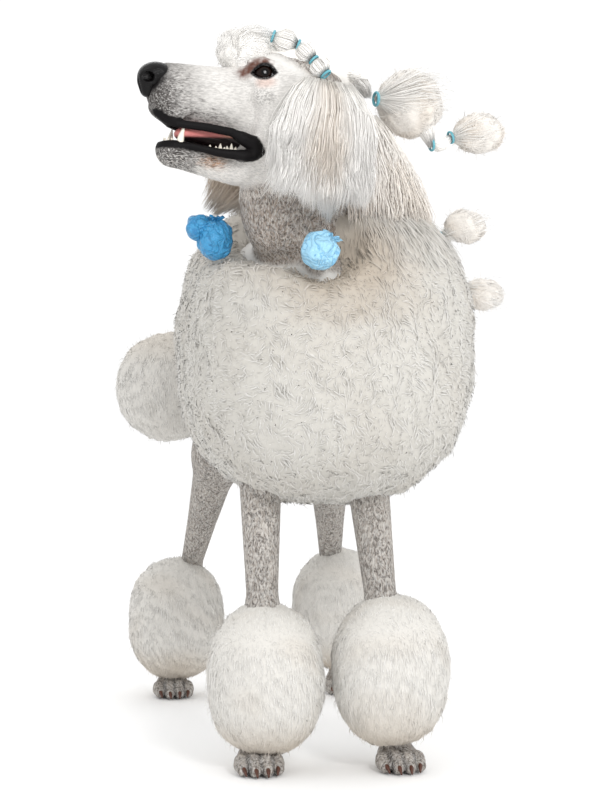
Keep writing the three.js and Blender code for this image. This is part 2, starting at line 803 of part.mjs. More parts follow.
// Wraps of film, bunched round each ear tip.
const WRAPS = {
  ear_wrap_left: { centre: at(-27, -352, 578), radii: at(21, 20, 20), knot: at(-14, -352, 592) },
  ear_wrap_right: { centre: at(-126, -246, 600), radii: at(21, 20, 25), knot: at(-146, -250, 614) },
};
const wrap = ({ centre, radii, knot }) => ({
  field: blend(7, ball(centre, radii), ball(knot, at(12, 12, 13))),
  axis: [between(centre, knot, -0.2), between(centre, knot, 0.7)],
  rings: 3,
  sides: 10,
});

// The pieces in order: each is cut clear of those before it that it would cross.
const pieces = [];
function piece(name, color, make, { carve = [], roughness = 0.9 } = {}) {
  pieces.push({ name, color, make, carve, roughness });
}
const inHead = (form) => (grow) => turned(skinOf(form, grow));
const inBody = (form) => (grow) => skinOf(form, grow);
const mouthHole = (grow) => skinOf(mouth, -grow);

for (const side of [1, -1]) {
  piece(side > 0 ? "eye_left" : "eye_right", COLOUR.eye, inHead(eyeball(side)), { roughness: 0.1 });
}
piece("nose", COLOUR.nose, inHead(nosePad), {
  carve: bothSides((side) => turned(skinOf(nostril(side)))),
  roughness: 0.35,
});
piece("lower_jaw", COLOUR.muzzle, (grow) =>
  turned(fused(cut(skinOf(jaw, grow), mouthHole(grow)), teeth(grow))),
);
piece("head", COLOUR.skin, (grow) =>
  turned(fused(cut(skinOf(skull, grow), mouthHole(grow)), bothSides((side) => lids(side, grow)))),
);
piece("tongue", COLOUR.tongue, inHead(tongueForm), { roughness: 0.4 });
piece("torso_loin", COLOUR.skin, inBody(loin));
piece("tail", COLOUR.skin, inBody(tail));
for (const side of ["left", "right"]) {
  piece(`foreleg_${side}`, COLOUR.skin, inBody(foreleg(FRONT[side])));
  piece(`hind_leg_${side}`, COLOUR.skin, inBody(hindLeg(HIND[side])));
  piece(`paw_front_${side}`, COLOUR.skin, (grow) => paw(FRONT[side].paw, grow));
  piece(`paw_hind_${side}`, COLOUR.skin, (grow) => paw(HIND[side].paw, grow));
}
piece("neck", COLOUR.skin, inBody(neck));
for (const [name, shape] of Object.entries(WRAPS)) {
  piece(name, COLOUR.wrap, inBody(wrap(shape)), { roughness: 0.4 });
}
for (const [name, place] of Object.entries(BANDS)) {
  piece(name, COLOUR.band, (grow) => band(place, grow), { roughness: 0.6 });
}
piece("braid_left", COLOUR.coat, braid(1));
piece("braid_right", COLOUR.coat, braid(-1));
piece("ear_left", COLOUR.coat, ear(1));
piece("ear_right", COLOUR.coat, ear(-1));
for (const name of Object.keys(HAIR)) piece(name, COLOUR.coat, hair(name));
for (const [name, shape] of Object.entries(FLEECE)) {
  const variations = Array.from({ length: shape.clumps }, () => 0.97 + 0.04 * random());
  piece(name, COLOUR.coat, (grow) => fleece(shape, variations, grow));
}

const boxesMeet = (a, b) => [0, 1, 2].every((i) => a.min[i] < b.max[i] + GAP && b.min[i] < a.max[i] + GAP);
const poodle = new THREE.Group();
const placed = [];
for (const { name, color, make, carve, roughness } of pieces) {
  let body = cut(make(0), ...carve);
  for (const earlier of placed) {
    if (boxesMeet(body.boundingBox(), earlier.boundingBox())) body = body.subtract(earlier);
  }
  placed.push(make(GAP));
  const mesh = new THREE.Mesh(
    geometryOf(body),
    new THREE.MeshStandardMaterial({ color, roughness, metalness: 0 }),
  );
  mesh.name = name;
  poodle.add(mesh);
}

// The origin is on the floor, under the middle of the dog.
const middle = new THREE.Box3().setFromObject(poodle).getCenter(new THREE.Vector3());
poodle.position.set(-middle.x, -middle.y, 0);

export default poodle;
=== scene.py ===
# %% [markdown]
# # Standard poodle in a continental show clip
# A still, life-size model. The dog's skin is one soft surface, and its coat is thousands of locks
# of hair that grow out of it. The skin could be sculpted by hand or fused from primitives. Here it
# is drawn round a sum of soft forms, because their sizes stay readable numbers and run into each
# other as muscles do. The coat could be particle hair, but solid tufts also show in an export.
# Everything is worked out in millimetres in the frame of the paws, and moved into the frame of
# the solids when a mesh is made.

# %% The shared frame and the libraries
import itertools
import math

import bmesh
import bpy
import numpy as np
from mathutils import Matrix, Vector
from mathutils.kdtree import KDTree


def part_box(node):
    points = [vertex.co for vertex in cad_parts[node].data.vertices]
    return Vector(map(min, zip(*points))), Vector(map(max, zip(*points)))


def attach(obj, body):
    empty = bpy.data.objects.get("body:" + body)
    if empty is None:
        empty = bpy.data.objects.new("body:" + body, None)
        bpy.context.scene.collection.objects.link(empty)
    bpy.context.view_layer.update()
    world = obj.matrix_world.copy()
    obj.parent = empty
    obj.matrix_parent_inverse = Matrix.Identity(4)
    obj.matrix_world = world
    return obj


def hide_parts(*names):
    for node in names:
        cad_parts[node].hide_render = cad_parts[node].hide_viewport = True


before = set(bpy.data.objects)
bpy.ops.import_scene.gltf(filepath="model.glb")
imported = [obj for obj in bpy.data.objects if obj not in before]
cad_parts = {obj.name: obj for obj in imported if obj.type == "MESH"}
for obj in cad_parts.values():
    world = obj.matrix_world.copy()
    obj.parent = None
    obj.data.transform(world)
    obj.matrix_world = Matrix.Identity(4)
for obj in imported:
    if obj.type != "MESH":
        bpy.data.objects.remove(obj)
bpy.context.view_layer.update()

MM = 0.001


def vec(*values):
    return np.array(values, float)


# %% [markdown]
# ## Frames
# The real dog turns its head far to its right and lifts it a little. The head could be modelled in
# place, but its left and right sides would then be hard to keep alike. So it has a frame of its
# own: x forward along the muzzle, y to the dog's left, z up, with the eyes near x = 0. The frame of
# the paws is found again from the box of one solid eye, so that both models line up.

# %% The head's place and turn
HEAD_PLACE = vec(-92, -290, 776)
HEAD_YAW = math.radians(71.5)
HEAD_PITCH = math.radians(4.4)
FORWARD = vec(
    -math.sin(HEAD_YAW) * math.cos(HEAD_PITCH),
    -math.cos(HEAD_YAW) * math.cos(HEAD_PITCH),
    math.sin(HEAD_PITCH),
)
LEFTWARD = vec(math.cos(HEAD_YAW), -math.sin(HEAD_YAW), 0)
HEAD_AXES = np.array([FORWARD, LEFTWARD, np.cross(FORWARD, LEFTWARD)])
EYE = vec(-2, 27, -6)
EYE_RADIUS = 11.0


def on_head(points):
    return HEAD_PLACE + np.asarray(points, float) @ HEAD_AXES


def in_head(points):
    return (points - HEAD_PLACE) @ HEAD_AXES.T


eye_low, eye_high = (np.array(corner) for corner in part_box("eye_left"))
SHIFT = (eye_low + eye_high) / 2 / MM - on_head(EYE)
print("from the paws' frame to the solids' frame in mm:", SHIFT.round(2))

# %% [markdown]
# ## Soft forms
# Flesh has no sharp joints: a cheek runs into a muzzle without a seam. Metaballs would give this
# too, but with little control. Here a form is a function that is below zero inside it and about a
# distance outside it. `join` lets forms run into each other over a chosen width, and `carve` takes
# one out of another with a rounded edge. `sway` is a smooth random field, used wherever something
# on the real dog is uneven.

# %% Lengths and steps
def length(v):
    return np.sqrt((v * v).sum(axis=-1))


def unit(v):
    return v / np.maximum(length(v), 1e-9)[..., None]


def smooth(low, high, value):
    t = np.clip((value - low) / (high - low), 0, 1)
    return t * t * (3 - 2 * t)


# %% Balls, limbs and chains of limbs
def ball(p, centre, radii, power=2):
    offset = np.abs(p - centre)
    scaled = ((offset / radii) ** power).sum(axis=1) ** (1 / power)
    return (scaled - 1) * length(offset) / np.maximum(scaled, 1e-6)


def limb(p, a, b, start, end):
    line = np.asarray(b, float) - a
    t = np.clip((p - a) @ line / (line @ line), 0, 1)
    return length(p - a - t[:, None] * line) - (start + (end - start) * t)


def chain(p, points, radii):
    parts = zip(points, points[1:], radii, radii[1:])
    return np.minimum.reduce([limb(p, a, b, start, end) for a, b, start, end in parts])


# %% Joining and carving
def join(softness, *values):
    total = values[0]
    for value in values[1:]:
        h = np.maximum(softness - np.abs(total - value), 0) / softness
        total = np.minimum(total, value) - h * h * softness / 4
    return total


def carve(softness, body, cutter):
    return -join(softness, -body, cutter)


def sway(p, reach, seed, waves=9):
    draw = np.random.default_rng(seed)
    total = np.zeros(p.shape)
    for _ in range(waves):
        way = unit(draw.normal(size=3)) * 2 * np.pi / (reach * draw.uniform(0.7, 1.5))
        total += np.sin(p @ way + draw.uniform(0, 6.3))[..., None] * draw.normal(size=3)
    return total / math.sqrt(waves)


FAR = 80.0


def nearby(form, p, centre, reach):
    """The form's value close to it, and a large one elsewhere, which saves most of the work."""
    value = np.full(len(p), FAR)
    close = length(p - centre) < reach
    if close.any():
        value[close] = form(p[close])
    return value


print("a ball of 10 mm, measured 15 mm from its middle:", ball(vec(15, 0, 0)[None], 0, 10)[0].round(3))

# %% [markdown]
# ## Head
# A poodle's head is long and dry, with a straight bridge, flat cheeks and tight black lips, and
# here the mouth is open. One lofted tube could give the muzzle, but not the lips or the lids. So
# the head is a sum: skull, brow, bridge, muzzle, cheeks and lips, then the hollow of the mouth,
# the lids round the eyes and the small folds. Each lip is a row of points with a thickness.

# %% Lines of the lips
UPPER_LIP = [(107, 3, -61), (101, 9, -67.5), (90, 17, -71.5), (62, 25, -72), (32, 30, -74), (9, 32, -83)]
RIGHT_LIP = [(101, 3, -55), (94, 9, -62), (84, 17, -66.5), (60, 25, -70), (32, 30, -74), (9, 32, -83)]
LOWER_LIP = [(97, 4, -94), (88, 12, -93), (72, 19, -93), (44, 26, -97), (16, 31, -97)]
LIP_CORNER = [(18, 31.5, -79), (7, 32.5, -83), (2, 33, -90), (6, 32.5, -96), (18, 31, -99)]


def sided(points, side):
    return [vec(x, y * side, z) for x, y, z in points]


def taller(p, level, factor):
    scaled = p.copy()
    scaled[:, 2] = level + (p[:, 2] - level) / factor
    return scaled


# %% The opening between the lids
def eye_frame(h, side):
    gaze = unit(vec(0.34, side * 0.94, 0.02))
    across = unit(np.cross(vec(0, 0, 1), gaze) * -side)
    up = np.cross(gaze, across) * side
    up = up * np.sign(up[2])
    offset = h - EYE * (1, side, 1)
    return offset @ across, offset @ up, offset @ gaze


def lid_opening(h, side):
    across, up, out = eye_frame(h, side)
    slant = up + 0.1 * across
    arch = np.where(slant > 0, 7.2, 5.6)
    almond = np.abs(slant) / arch + (np.abs(across) / 12.5) ** 2.2 - 1
    return np.maximum(almond * 5, 3 - out)


# %% Skull, jaw and mouth
def skull(h):
    parts = [
        ball(h, (-52, 0, -6), (62, 47, 38)),
        ball(h, (-10, 0, -4), (34, 33, 20)),
        limb(h, vec(12, 0, -21), vec(98, 0, -23), 20.5, 16.5),
        limb(taller(h, -40, 1.28), vec(16, 0, -40), vec(84, 0, -39), 26.5, 20.5),
        ball(h, (98, 0, -38), (21, 17.5, 22.5)),
        ball(h, (-24, 0, -62), (36, 37, 57)),
        limb(h, vec(2, 0, -100), vec(-50, 0, -88), 24, 31),
    ]
    for side in (1, -1):
        parts.append(ball(h, (-26, side * 33.5, -30), (35, 14.5, 21.5)))
        parts.append(ball(h, (-36, side * 31.5, -66), (37, 16.5, 39)))
    return join(14, *parts)


def jaw(h):
    chin = ball(h, (88, 0, -98), (14.5, 14.5, 12))
    body = join(10, limb(h, vec(86, 0, -101), vec(14, 0, -106), 13.5, 18.5), chin)
    lips = [chain(h, sided(LOWER_LIP, side), [2.4, 2.8, 3.2, 4.6, 5.5]) for side in (1, -1)]
    return join(8, body, *lips)


def mouth(h):
    hollow = ball(h, (54, 0, -80), (54, 19.5, 15.5))
    front = ball(h, (84, 0, -80), (26, 14, 11))
    return join(6, hollow, front)


# %% The face, put together
def face(h):
    body = skull(h)
    for side in (1, -1):
        lip = chain(h, sided(UPPER_LIP if side > 0 else RIGHT_LIP, side), [3.2, 3.6, 4.2, 4.4, 4.6, 5])
        corner = chain(h, sided(LIP_CORNER, side), [4.6, 4.8, 5, 5, 4.8])
        body = join(10, body, lip, corner)
    body = join(5, body, jaw(h))
    body = carve(3, body, mouth(h))
    for side in (1, -1):
        lids = ball(h, EYE * (1, side, 1), (13.4, 13.4, 12.6))
        body = join(7, body, lids)
        pouch = chain(h, sided([(14, 27, -15), (2, 35, -19), (-14, 39, -17)], side), [1.6, 2.2, 1.4])
        brow = chain(h, sided([(14, 24, 6), (2, 32, 8.5), (-14, 37, 4)], side), [2.2, 3.2, 2])
        body = join(6, body, pouch, brow)
        body = carve(1.6, body, lid_opening(h, side))
        whisker_pad = ball(h, (92, side * 17, -52), (17, 5, 11))
        body = join(9, body, whisker_pad)
    groove = limb(h, vec(124, 0, -36), vec(115, 0, -58), 1.4, 0.8)
    return carve(2.5, body, groove)


print("left lip from front to corner in mm:", length(vec(*UPPER_LIP[0]) - vec(*UPPER_LIP[-1])).round(1))

# %% [markdown]
# ## Body, legs and paws
# Under the clip, the shaved legs show bone and sinew: a thin foreleg with a knob at the wrist, and
# a hind leg that bends at the hock. Each leg is a chain of limbs between its joints, because a
# chain follows the pose from four points. The cores of the mane, the bracelets and the pompon
# belong to the skin too, so that nothing bare shows between the tufts.

# %% Places of the body's parts
CHEST = vec(14, -130, 480)
MANE = vec(171, 232, 184)
FRONT = {
    1: [(56, -190, 345), (68, -226, 175), (78, -236, 70), (86, -224, 0)],
    -1: [(-66, -180, 345), (-67, -207, 175), (-70, -212, 70), (-74, -214, 0)],
}
HIND = {
    1: [(62, 222, 440), (84, 200, 345), (110, 326, 170), (122, 304, 0)],
    -1: [(-56, 222, 440), (-68, 200, 345), (-95, 328, 170), (-120, 312, 0)],
}
TAIL = [vec(0, 262, 530), vec(-42, 318, 548), vec(-92, 352, 522), vec(-114, 366, 486)]
BRACELETS = {
    "bracelet_front_left": (vec(77, -228, 114), vec(69, 69, 88)),
    "bracelet_front_right": (vec(-64, -209, 104), vec(69, 69, 88)),
    "bracelet_hind_left": (vec(120, 312, 118), vec(69, 69, 88)),
    "bracelet_hind_right": (vec(-114, 318, 108), vec(69, 69, 88)),
}
POMPON = (vec(-117, 367, 436), vec(80, 80, 80))
TOES = [(-20, -14, 17), (-7, -23, 19), (7, -23, 19), (20, -14, 17)]
MANE_CORE = 0.79
PUFF_CORE = 0.62
print("mane", 2 * MANE, "mm across,", len(BRACELETS), "bracelets")


# %% Legs
def foreleg(p, joints):
    elbow, wrist, ankle, paw = [vec(*joint) for joint in joints]
    bones = chain(p, [elbow + (0, 18, 60), elbow, wrist, ankle, paw + (0, 8, 34)], [33, 25, 17, 15, 16])
    tendon = chain(p, [elbow + (0, 26, -30), wrist + (0, 16, 20)], [8, 6])
    knob = ball(p, wrist, (18, 19, 24))
    return join(14, bones, knob, tendon)


def hind_leg(p, joints):
    hip, knee, hock, paw = [vec(*joint) for joint in joints]
    shin = knee + (hock - knee) * 0.55
    return join(
        22,
        ball(p, hip - (0, 0, 30), (35, 69, 95)),
        chain(p, [hip, knee], [35, 32]),
        chain(p, [knee, shin, hock], [31, 20, 13.5]),
        chain(p, [hock + (0, 14, 8), hock, paw + (0, 12, 32)], [8, 14.5, 15]),
    )


# %% A paw with four toes
def paw(p, place):
    place = vec(*place)
    toes = []
    for x, y, knuckle in TOES:
        line = [place + (x * 0.7, y + 16, 16), place + (x, y, knuckle - 6), place + (x, y - 12, 8)]
        toes.append(chain(p, line, [8.5, 9, 6.8]))
        toes.append(ball(p, place + (x, y + 3, knuckle - 1), (7.6, 9, 6.5)))
    nails = join(2.4, *toes)
    pads = join(12, ball(p, place + (0, 8, 14), (22, 24, 19)), ball(p, place + (0, 6, 4), (20, 22, 8)))
    return join(4, pads, nails)


# %% Neck and trunk
def neck(p):
    throat = chain(p, [on_head((-30, 16, -112)), vec(-36, -300, 610), vec(-12, -286, 540)], [9.5, 8.5, 7.5])
    fold = chain(p, [on_head((-52, 30, -112)), vec(-10, -300, 600), vec(10, -286, 540)], [7, 6, 6])
    column = chain(p, [vec(-28, -262, 700), vec(-12, -232, 620), vec(6, -185, 500)], [57, 65, 83])
    bulge = ball(p, (-54, -262, 640), (46, 49, 66))
    return join(12, join(24, column, bulge), throat, fold)


def body(p):
    loin = join(
        40,
        ball(p, (0, 110, 492), (69, 140, 77)),
        ball(p, (0, 215, 490), (75, 71, 79)),
        ball(p, (0, 30, 478), (77, 90, 91)),
    )
    mane = ball(p, CHEST, MANE * MANE_CORE, 2.5)
    tail = nearby(lambda q: chain(q, TAIL, [17, 14, 11, 10]), p, TAIL[1], 180)
    value = join(20, loin, tail)
    for joints in HIND.values():
        thigh = vec(*joints[1]) + (0, 50, -70)
        value = join(18, value, nearby(lambda q: hind_leg(q, joints), p, thigh, 330))
    value = join(14, value, mane)
    for joints in FRONT.values():
        value = join(12, value, nearby(lambda q: foreleg(q, joints), p, vec(*joints[1]) + (0, 0, 40), 260))
    for joints in (*FRONT.values(), *HIND.values()):
        place = vec(*joints[3])
        value = join(7, value, nearby(lambda q: paw(q, place), p, place + (0, 0, 15), 75))
    puffs = [
        nearby(lambda q: ball(q, place, radii * PUFF_CORE), p, place, 120)
        for place, radii in [*BRACELETS.values(), POMPON]
    ]
    return join(6, value, *puffs)


def whole(p):
    throat = nearby(neck, p, vec(-15, -235, 610), 230)
    head = nearby(lambda q: face(in_head(q)), p, on_head((15, 0, -50)), 190)
    value = join(12, body(p), join(16, throat, head))
    return np.maximum(value, -p[:, 2])


print("value at the chest's middle, which is inside:", whole(CHEST[None])[0].round(1))

# %% [markdown]
# ## From a form to a mesh
# A form has no faces yet. Blender's metaballs or a volume remesh could find them, but they round
# off the lips. So a grid of values is filled, coarsely at first and finely near the surface. A net
# of quads is drawn round the zero level, with one point for each cell that it crosses, and every
# point is then pulled onto the form along its slope.

# %% Values on a grid
NEAR_SURFACE = 1.9
MOST_AT_ONCE = 400000


def grid_values(form, low, high, cell, coarse=4):
    low = np.asarray(low, float)
    steps = np.ceil((np.asarray(high, float) - low) / (cell * coarse)).astype(int)
    ticks = [low[i] + cell * coarse * np.arange(steps[i] + 1) for i in range(3)]
    rough = form(np.stack(np.meshgrid(*ticks, indexing="ij"), -1).reshape(-1, 3)).reshape(steps + 1)
    fine_shape = steps * coarse + 1
    values = rough
    for axis in range(3):
        values = np.repeat(values, coarse, axis=axis)
        values = np.take(values, range(fine_shape[axis]), axis=axis)
    near = np.abs(rough) < cell * coarse * NEAR_SURFACE
    for axis in range(3):
        near = np.repeat(near, coarse, axis=axis)
        near = np.take(near, range(fine_shape[axis]), axis=axis)
        near = near | np.roll(near, -coarse, axis=axis)
    where = np.argwhere(near)
    for part in np.array_split(where, max(1, len(where) // MOST_AT_ONCE)):
        values[tuple(part.T)] = form(low + cell * part)
    return values


# %% A net of quads round the zero level
def net(values, low, cell):
    """One point in each crossed cell, and a quad round each crossed edge of the grid."""
    inside = values < 0
    cells = np.array(values.shape) - 1
    total = np.zeros((*cells, 3), np.float32)
    count = np.zeros(cells, np.float32)
    for axis in range(3):
        others = [i for i in range(3) if i != axis]
        for step in itertools.product((0, 1), repeat=2):
            start = [0, 0, 0]
            start[others[0]], start[others[1]] = step
            here = tuple(slice(start[i], start[i] + cells[i]) for i in range(3))
            start[axis] = 1
            there = tuple(slice(start[i], start[i] + cells[i]) for i in range(3))
            crossed = inside[here] != inside[there]
            share = values[here] / np.where(crossed, values[here] - values[there], 1)
            total[..., axis] += np.where(crossed, share, 0)
            total[..., others[0]] += crossed * step[0]
            total[..., others[1]] += crossed * step[1]
            count += crossed
    used = count > 0
    index = np.full(cells, -1)
    index[used] = np.arange(used.sum())
    points = low + cell * (np.argwhere(used) + total[used] / count[used][:, None])
    quads = []
    for axis in range(3):
        b, c = (axis + 1) % 3, (axis + 2) % 3
        here = [slice(None)] * 3
        here[axis] = slice(0, cells[axis])
        there = list(here)
        there[axis] = slice(1, cells[axis] + 1)
        crossed = inside[tuple(here)] != inside[tuple(there)]
        edges = np.argwhere(crossed)
        within = (edges[:, [b, c]] > 0).all(axis=1) & (edges[:, [b, c]] < cells[[b, c]]).all(axis=1)
        edges = edges[within]
        ring = []
        for back_b, back_c in ((1, 1), (0, 1), (0, 0), (1, 0)):
            cell_at = edges.copy()
            cell_at[:, b] -= back_b
            cell_at[:, c] -= back_c
            ring.append(index[tuple(cell_at.T)])
        ring = np.stack(ring, 1)
        outward = inside[tuple(edges.T)]
        quads.append(np.where(outward[:, None], ring, ring[:, ::-1]))
    return points, np.concatenate(quads)


# %% Pulling points onto a form
def pulled(form, points, rounds=4, reach=1.2, step=0.15):
    """Each round moves a point against the form's slope, by no more than reach."""
    points = points.copy()
    for _ in range(rounds):
        value = form(points)
        slope = np.stack([form(points + step * axis) - value for axis in np.eye(3)], 1) / step
        move = value / np.maximum((slope**2).sum(axis=1), 0.2)
        points -= np.clip(move[:, None] * slope, -reach, reach)
    return points


trial = pulled(lambda p: ball(p, 0, 10), vec(13, 2, 0)[None])
print("a point pulled onto a ball of 10 mm is now", length(trial[0]).round(3), "mm from its middle")

# %% [markdown]
# ## Meshes and objects
# Blender keeps metres and objects, and the forms are in millimetres. Adding faces one by one is
# slow for meshes of this size, so whole arrays are copied in with `foreach_set`. The points move
# into the frame of the solids here and nowhere else, and every object stays at the origin.

# %% From arrays to an object
coll = bpy.context.scene.collection


def mesh_object(name, points, faces, material, smooth_faces=True):
    mesh = bpy.data.meshes.new(name)
    sides = faces.shape[1]
    mesh.vertices.add(len(points))
    mesh.vertices.foreach_set("co", ((points + SHIFT) * MM).astype(np.float32).ravel())
    mesh.loops.add(faces.size)
    mesh.loops.foreach_set("vertex_index", faces.astype(np.int32).ravel())
    mesh.polygons.add(len(faces))
    mesh.polygons.foreach_set("loop_start", np.arange(0, faces.size, sides, dtype=np.int32))
    mesh.polygons.foreach_set("use_smooth", np.full(len(faces), smooth_faces))
    mesh.update(calc_edges=True)
    mesh.materials.append(material)
    obj = bpy.data.objects.new(name, mesh)
    coll.objects.link(obj)
    return obj


# %% Reading and writing a mesh's points
def points_of(obj):
    flat = np.empty(len(obj.data.vertices) * 3, np.float32)
    obj.data.vertices.foreach_get("co", flat)
    return flat.reshape(-1, 3).astype(float) / MM - SHIFT


def normals_of(obj):
    flat = np.empty(len(obj.data.vertices) * 3, np.float32)
    obj.data.vertices.foreach_get("normal", flat)
    return flat.reshape(-1, 3).astype(float)


def set_points(obj, points):
    obj.data.vertices.foreach_set("co", ((points + SHIFT) * MM).astype(np.float32).ravel())
    obj.data.update()


def number_on(obj, name, values):
    attribute = obj.data.attributes.new(name, "FLOAT", "POINT")
    attribute.data.foreach_set("value", np.asarray(values, np.float32))


def colour_on(obj, name, colours):
    attribute = obj.data.attributes.new(name, "FLOAT_COLOR", "POINT")
    full = np.ones((len(colours), 4), np.float32)
    full[:, :3] = colours
    attribute.data.foreach_set("color", full.ravel())


# %% Shading and bodies
def soft_normals(obj, normals):
    """Hair is shaded by the form that it grows on more than by its own faces."""
    attribute = obj.data.attributes.new("custom_normal", "FLOAT_VECTOR", "POINT")
    attribute.data.foreach_set("vector", unit(normals).astype(np.float32).ravel())


def finished(obj, slot, *nodes):
    if nodes:
        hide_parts(*nodes)
    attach(obj, "root")
    return obj


# %% Finer and coarser meshes
def divided(obj, wanted):
    """The quads whose middle passes the test are divided into four."""
    bm = bmesh.new()
    bm.from_mesh(obj.data)
    middles = np.array([face.calc_center_median() for face in bm.faces]) / MM - SHIFT
    chosen = wanted(middles)
    bm.faces.ensure_lookup_table()
    edges = {edge for i in np.flatnonzero(chosen) for edge in bm.faces[i].edges}
    bmesh.ops.subdivide_edges(bm, edges=list(edges), cuts=1, use_grid_fill=True)
    bm.to_mesh(obj.data)
    bm.free()
    obj.data.polygons.foreach_set("use_smooth", np.full(len(obj.data.polygons), True))


def thinned(obj, most):
    """Faces are merged, the flattest first, until no more than this many triangles are left."""
    count = sum(len(face.vertices) - 2 for face in obj.data.polygons)
    if count > most:
        thin = obj.modifiers.new("thin", "DECIMATE")
        thin.ratio = most / count
        bpy.context.view_layer.objects.active = obj
        bpy.ops.object.modifier_apply(modifier=thin.name)
    obj.data.polygons.foreach_set("use_smooth", np.full(len(obj.data.polygons), True))


# %% [markdown]
# ## Materials
# A dog's colours follow its form: black on the lips, grey where it is shaved, rust by the eye.
# They could be painted on an image, but nobody can read an image in a script. So the colours that
# follow the form are worked out at each point of a mesh and read as an attribute, and noise in the
# shader breaks them up into hairs and pores. Gloss comes from the shader and the lights alone.

# %% Colours
def linear_part(value):
    """One channel of a screen colour, as the shader's linear light."""
    return ((value / 255 + 0.055) / 1.055) ** 2.4 if value > 10 else value / 255 / 12.92


def linear(red, green, blue):
    return np.array([linear_part(value) for value in (red, green, blue)])


WHITE = linear(240, 238, 234)
FACE = linear(222, 219, 215)
LEG = linear(156, 149, 142)
THROAT = linear(150, 138, 128)
DARK = linear(62, 57, 55)
BLACK = linear(16, 14, 15)
RUST = linear(86, 42, 24)
TAN = linear(166, 118, 76)
GUM = linear(52, 26, 27)
FLESH_PINK = linear(176, 122, 112)
LID_PINK = linear(206, 172, 158)
MUZZLE_TURN = math.radians(18.5)
print("shaved leg in linear light:", LEG.round(3))


# %% A helper that makes a material's nodes
class Nodes:
    """A material's nodes, made one after another."""

    def __init__(self, name, **principled):
        self.material = bpy.data.materials.new(name)
        self.material.use_nodes = True
        self.tree = self.material.node_tree
        self.shader = self.tree.nodes["Principled BSDF"]
        for socket, value in principled.items():
            self.shader.inputs[socket.replace("_", " ").title().replace("Ior", "IOR")].default_value = value

    def add(self, kind, inputs=None, **settings):
        node = self.tree.nodes.new(kind)
        for key, value in settings.items():
            setattr(node, key, value)
        for socket, value in (inputs or {}).items():
            if isinstance(value, bpy.types.NodeSocket):
                self.tree.links.new(value, node.inputs[socket])
            else:
                node.inputs[socket].default_value = value
        return node

    def attribute(self, name, output="Color"):
        return self.add("ShaderNodeAttribute", attribute_name=name).outputs[output]

    def place(self, stretch=(1, 1, 1), turn=0.0):
        inputs = {
            "Vector": self.add("ShaderNodeTexCoord").outputs["Object"],
            "Rotation": (0, 0, turn),
            "Scale": stretch,
        }
        return self.add("ShaderNodeMapping", inputs, vector_type="TEXTURE").outputs["Vector"]

    def noise(self, scale, detail=3.0, rough=0.55, warp=0.0, stretch=(1, 1, 1), turn=0.0):
        inputs = {
            "Vector": self.place(stretch, turn),
            "Scale": scale,
            "Detail": detail,
            "Roughness": rough,
            "Distortion": warp,
        }
        return self.add("ShaderNodeTexNoise", inputs).outputs["Fac"]

    def ramp(self, value, *stops):
        node = self.add("ShaderNodeValToRGB", {"Fac": value})
        elements = node.color_ramp.elements
        while len(elements) < len(stops):
            elements.new(0.5)
        for element, (position, colour) in zip(elements, stops):
            element.position = position
            element.color = (*colour, 1) if np.ndim(colour) else (colour, colour, colour, 1)
        return node.outputs["Color"]

    def mix(self, factor, a, b, mode="MIX"):
        node = self.add("ShaderNodeMix", data_type="RGBA", blend_type=mode)
        for socket, value in ((0, factor), (6, a), (7, b)):
            if isinstance(value, bpy.types.NodeSocket):
                self.tree.links.new(value, node.inputs[socket])
            elif socket:
                node.inputs[socket].default_value = (*value, 1)
            else:
                node.inputs[socket].default_value = value
        return node.outputs[2]

    def math(self, operation, a, b=0.0):
        node = self.add("ShaderNodeMath", operation=operation)
        for i, value in enumerate((a, b)):
            if isinstance(value, bpy.types.NodeSocket):
                self.tree.links.new(value, node.inputs[i])
            else:
                node.inputs[i].default_value = value
        return node.outputs[0]

    def bump(self, height, strength, distance):
        inputs = {"Height": height, "Strength": strength, "Distance": distance}
        return self.add("ShaderNodeBump", inputs).outputs["Normal"]

    def to(self, socket, value):
        self.tree.links.new(value, self.shader.inputs[socket])


# %% [markdown]
# ## Hair and skin materials
# White hair lets light through from lock to lock, so real fur is hardly dark in its depths.
# Scattering under the surface would show this but is slow over so many locks, so a very faint
# glow in the hair's own colour stands in for it. Each lock is painted a little darker at its root,
# as shade in the depths of the fur, and has a tone of its own. The shaved skin shows curly lines
# and a short white nap, and the muzzle shows dark and pale hairs that lie along it, both as
# stretched noise with a little relief.

# %% The coat's material
def coat_material(name, root, tip, stain_and_shade):
    """`along` runs from a tuft's root, painted darker as shade, to its tip, and `own` is its own tone.
    The third colour is a beige, mixed in partly as a stain and partly as painted shade.
    """
    nodes = Nodes(name, roughness=0.8, specular_ior_level=0.12, emission_strength=0.05)
    along = nodes.attribute("along", "Fac")
    own = nodes.attribute("own", "Fac")
    root_shade = nodes.ramp(along, (0.0, root), (0.6, tip))
    varied = nodes.mix(nodes.math("MULTIPLY", own, 0.12), root_shade, tuple(np.asarray(tip) * 0.6))
    # Beige where the hair is stained, and as painted shade where the masks put it.
    colour = nodes.mix(nodes.attribute("stain_and_shade", "Fac"), varied, stain_and_shade)
    nodes.to("Base Color", colour)
    nodes.to("Emission Color", colour)
    return nodes.material


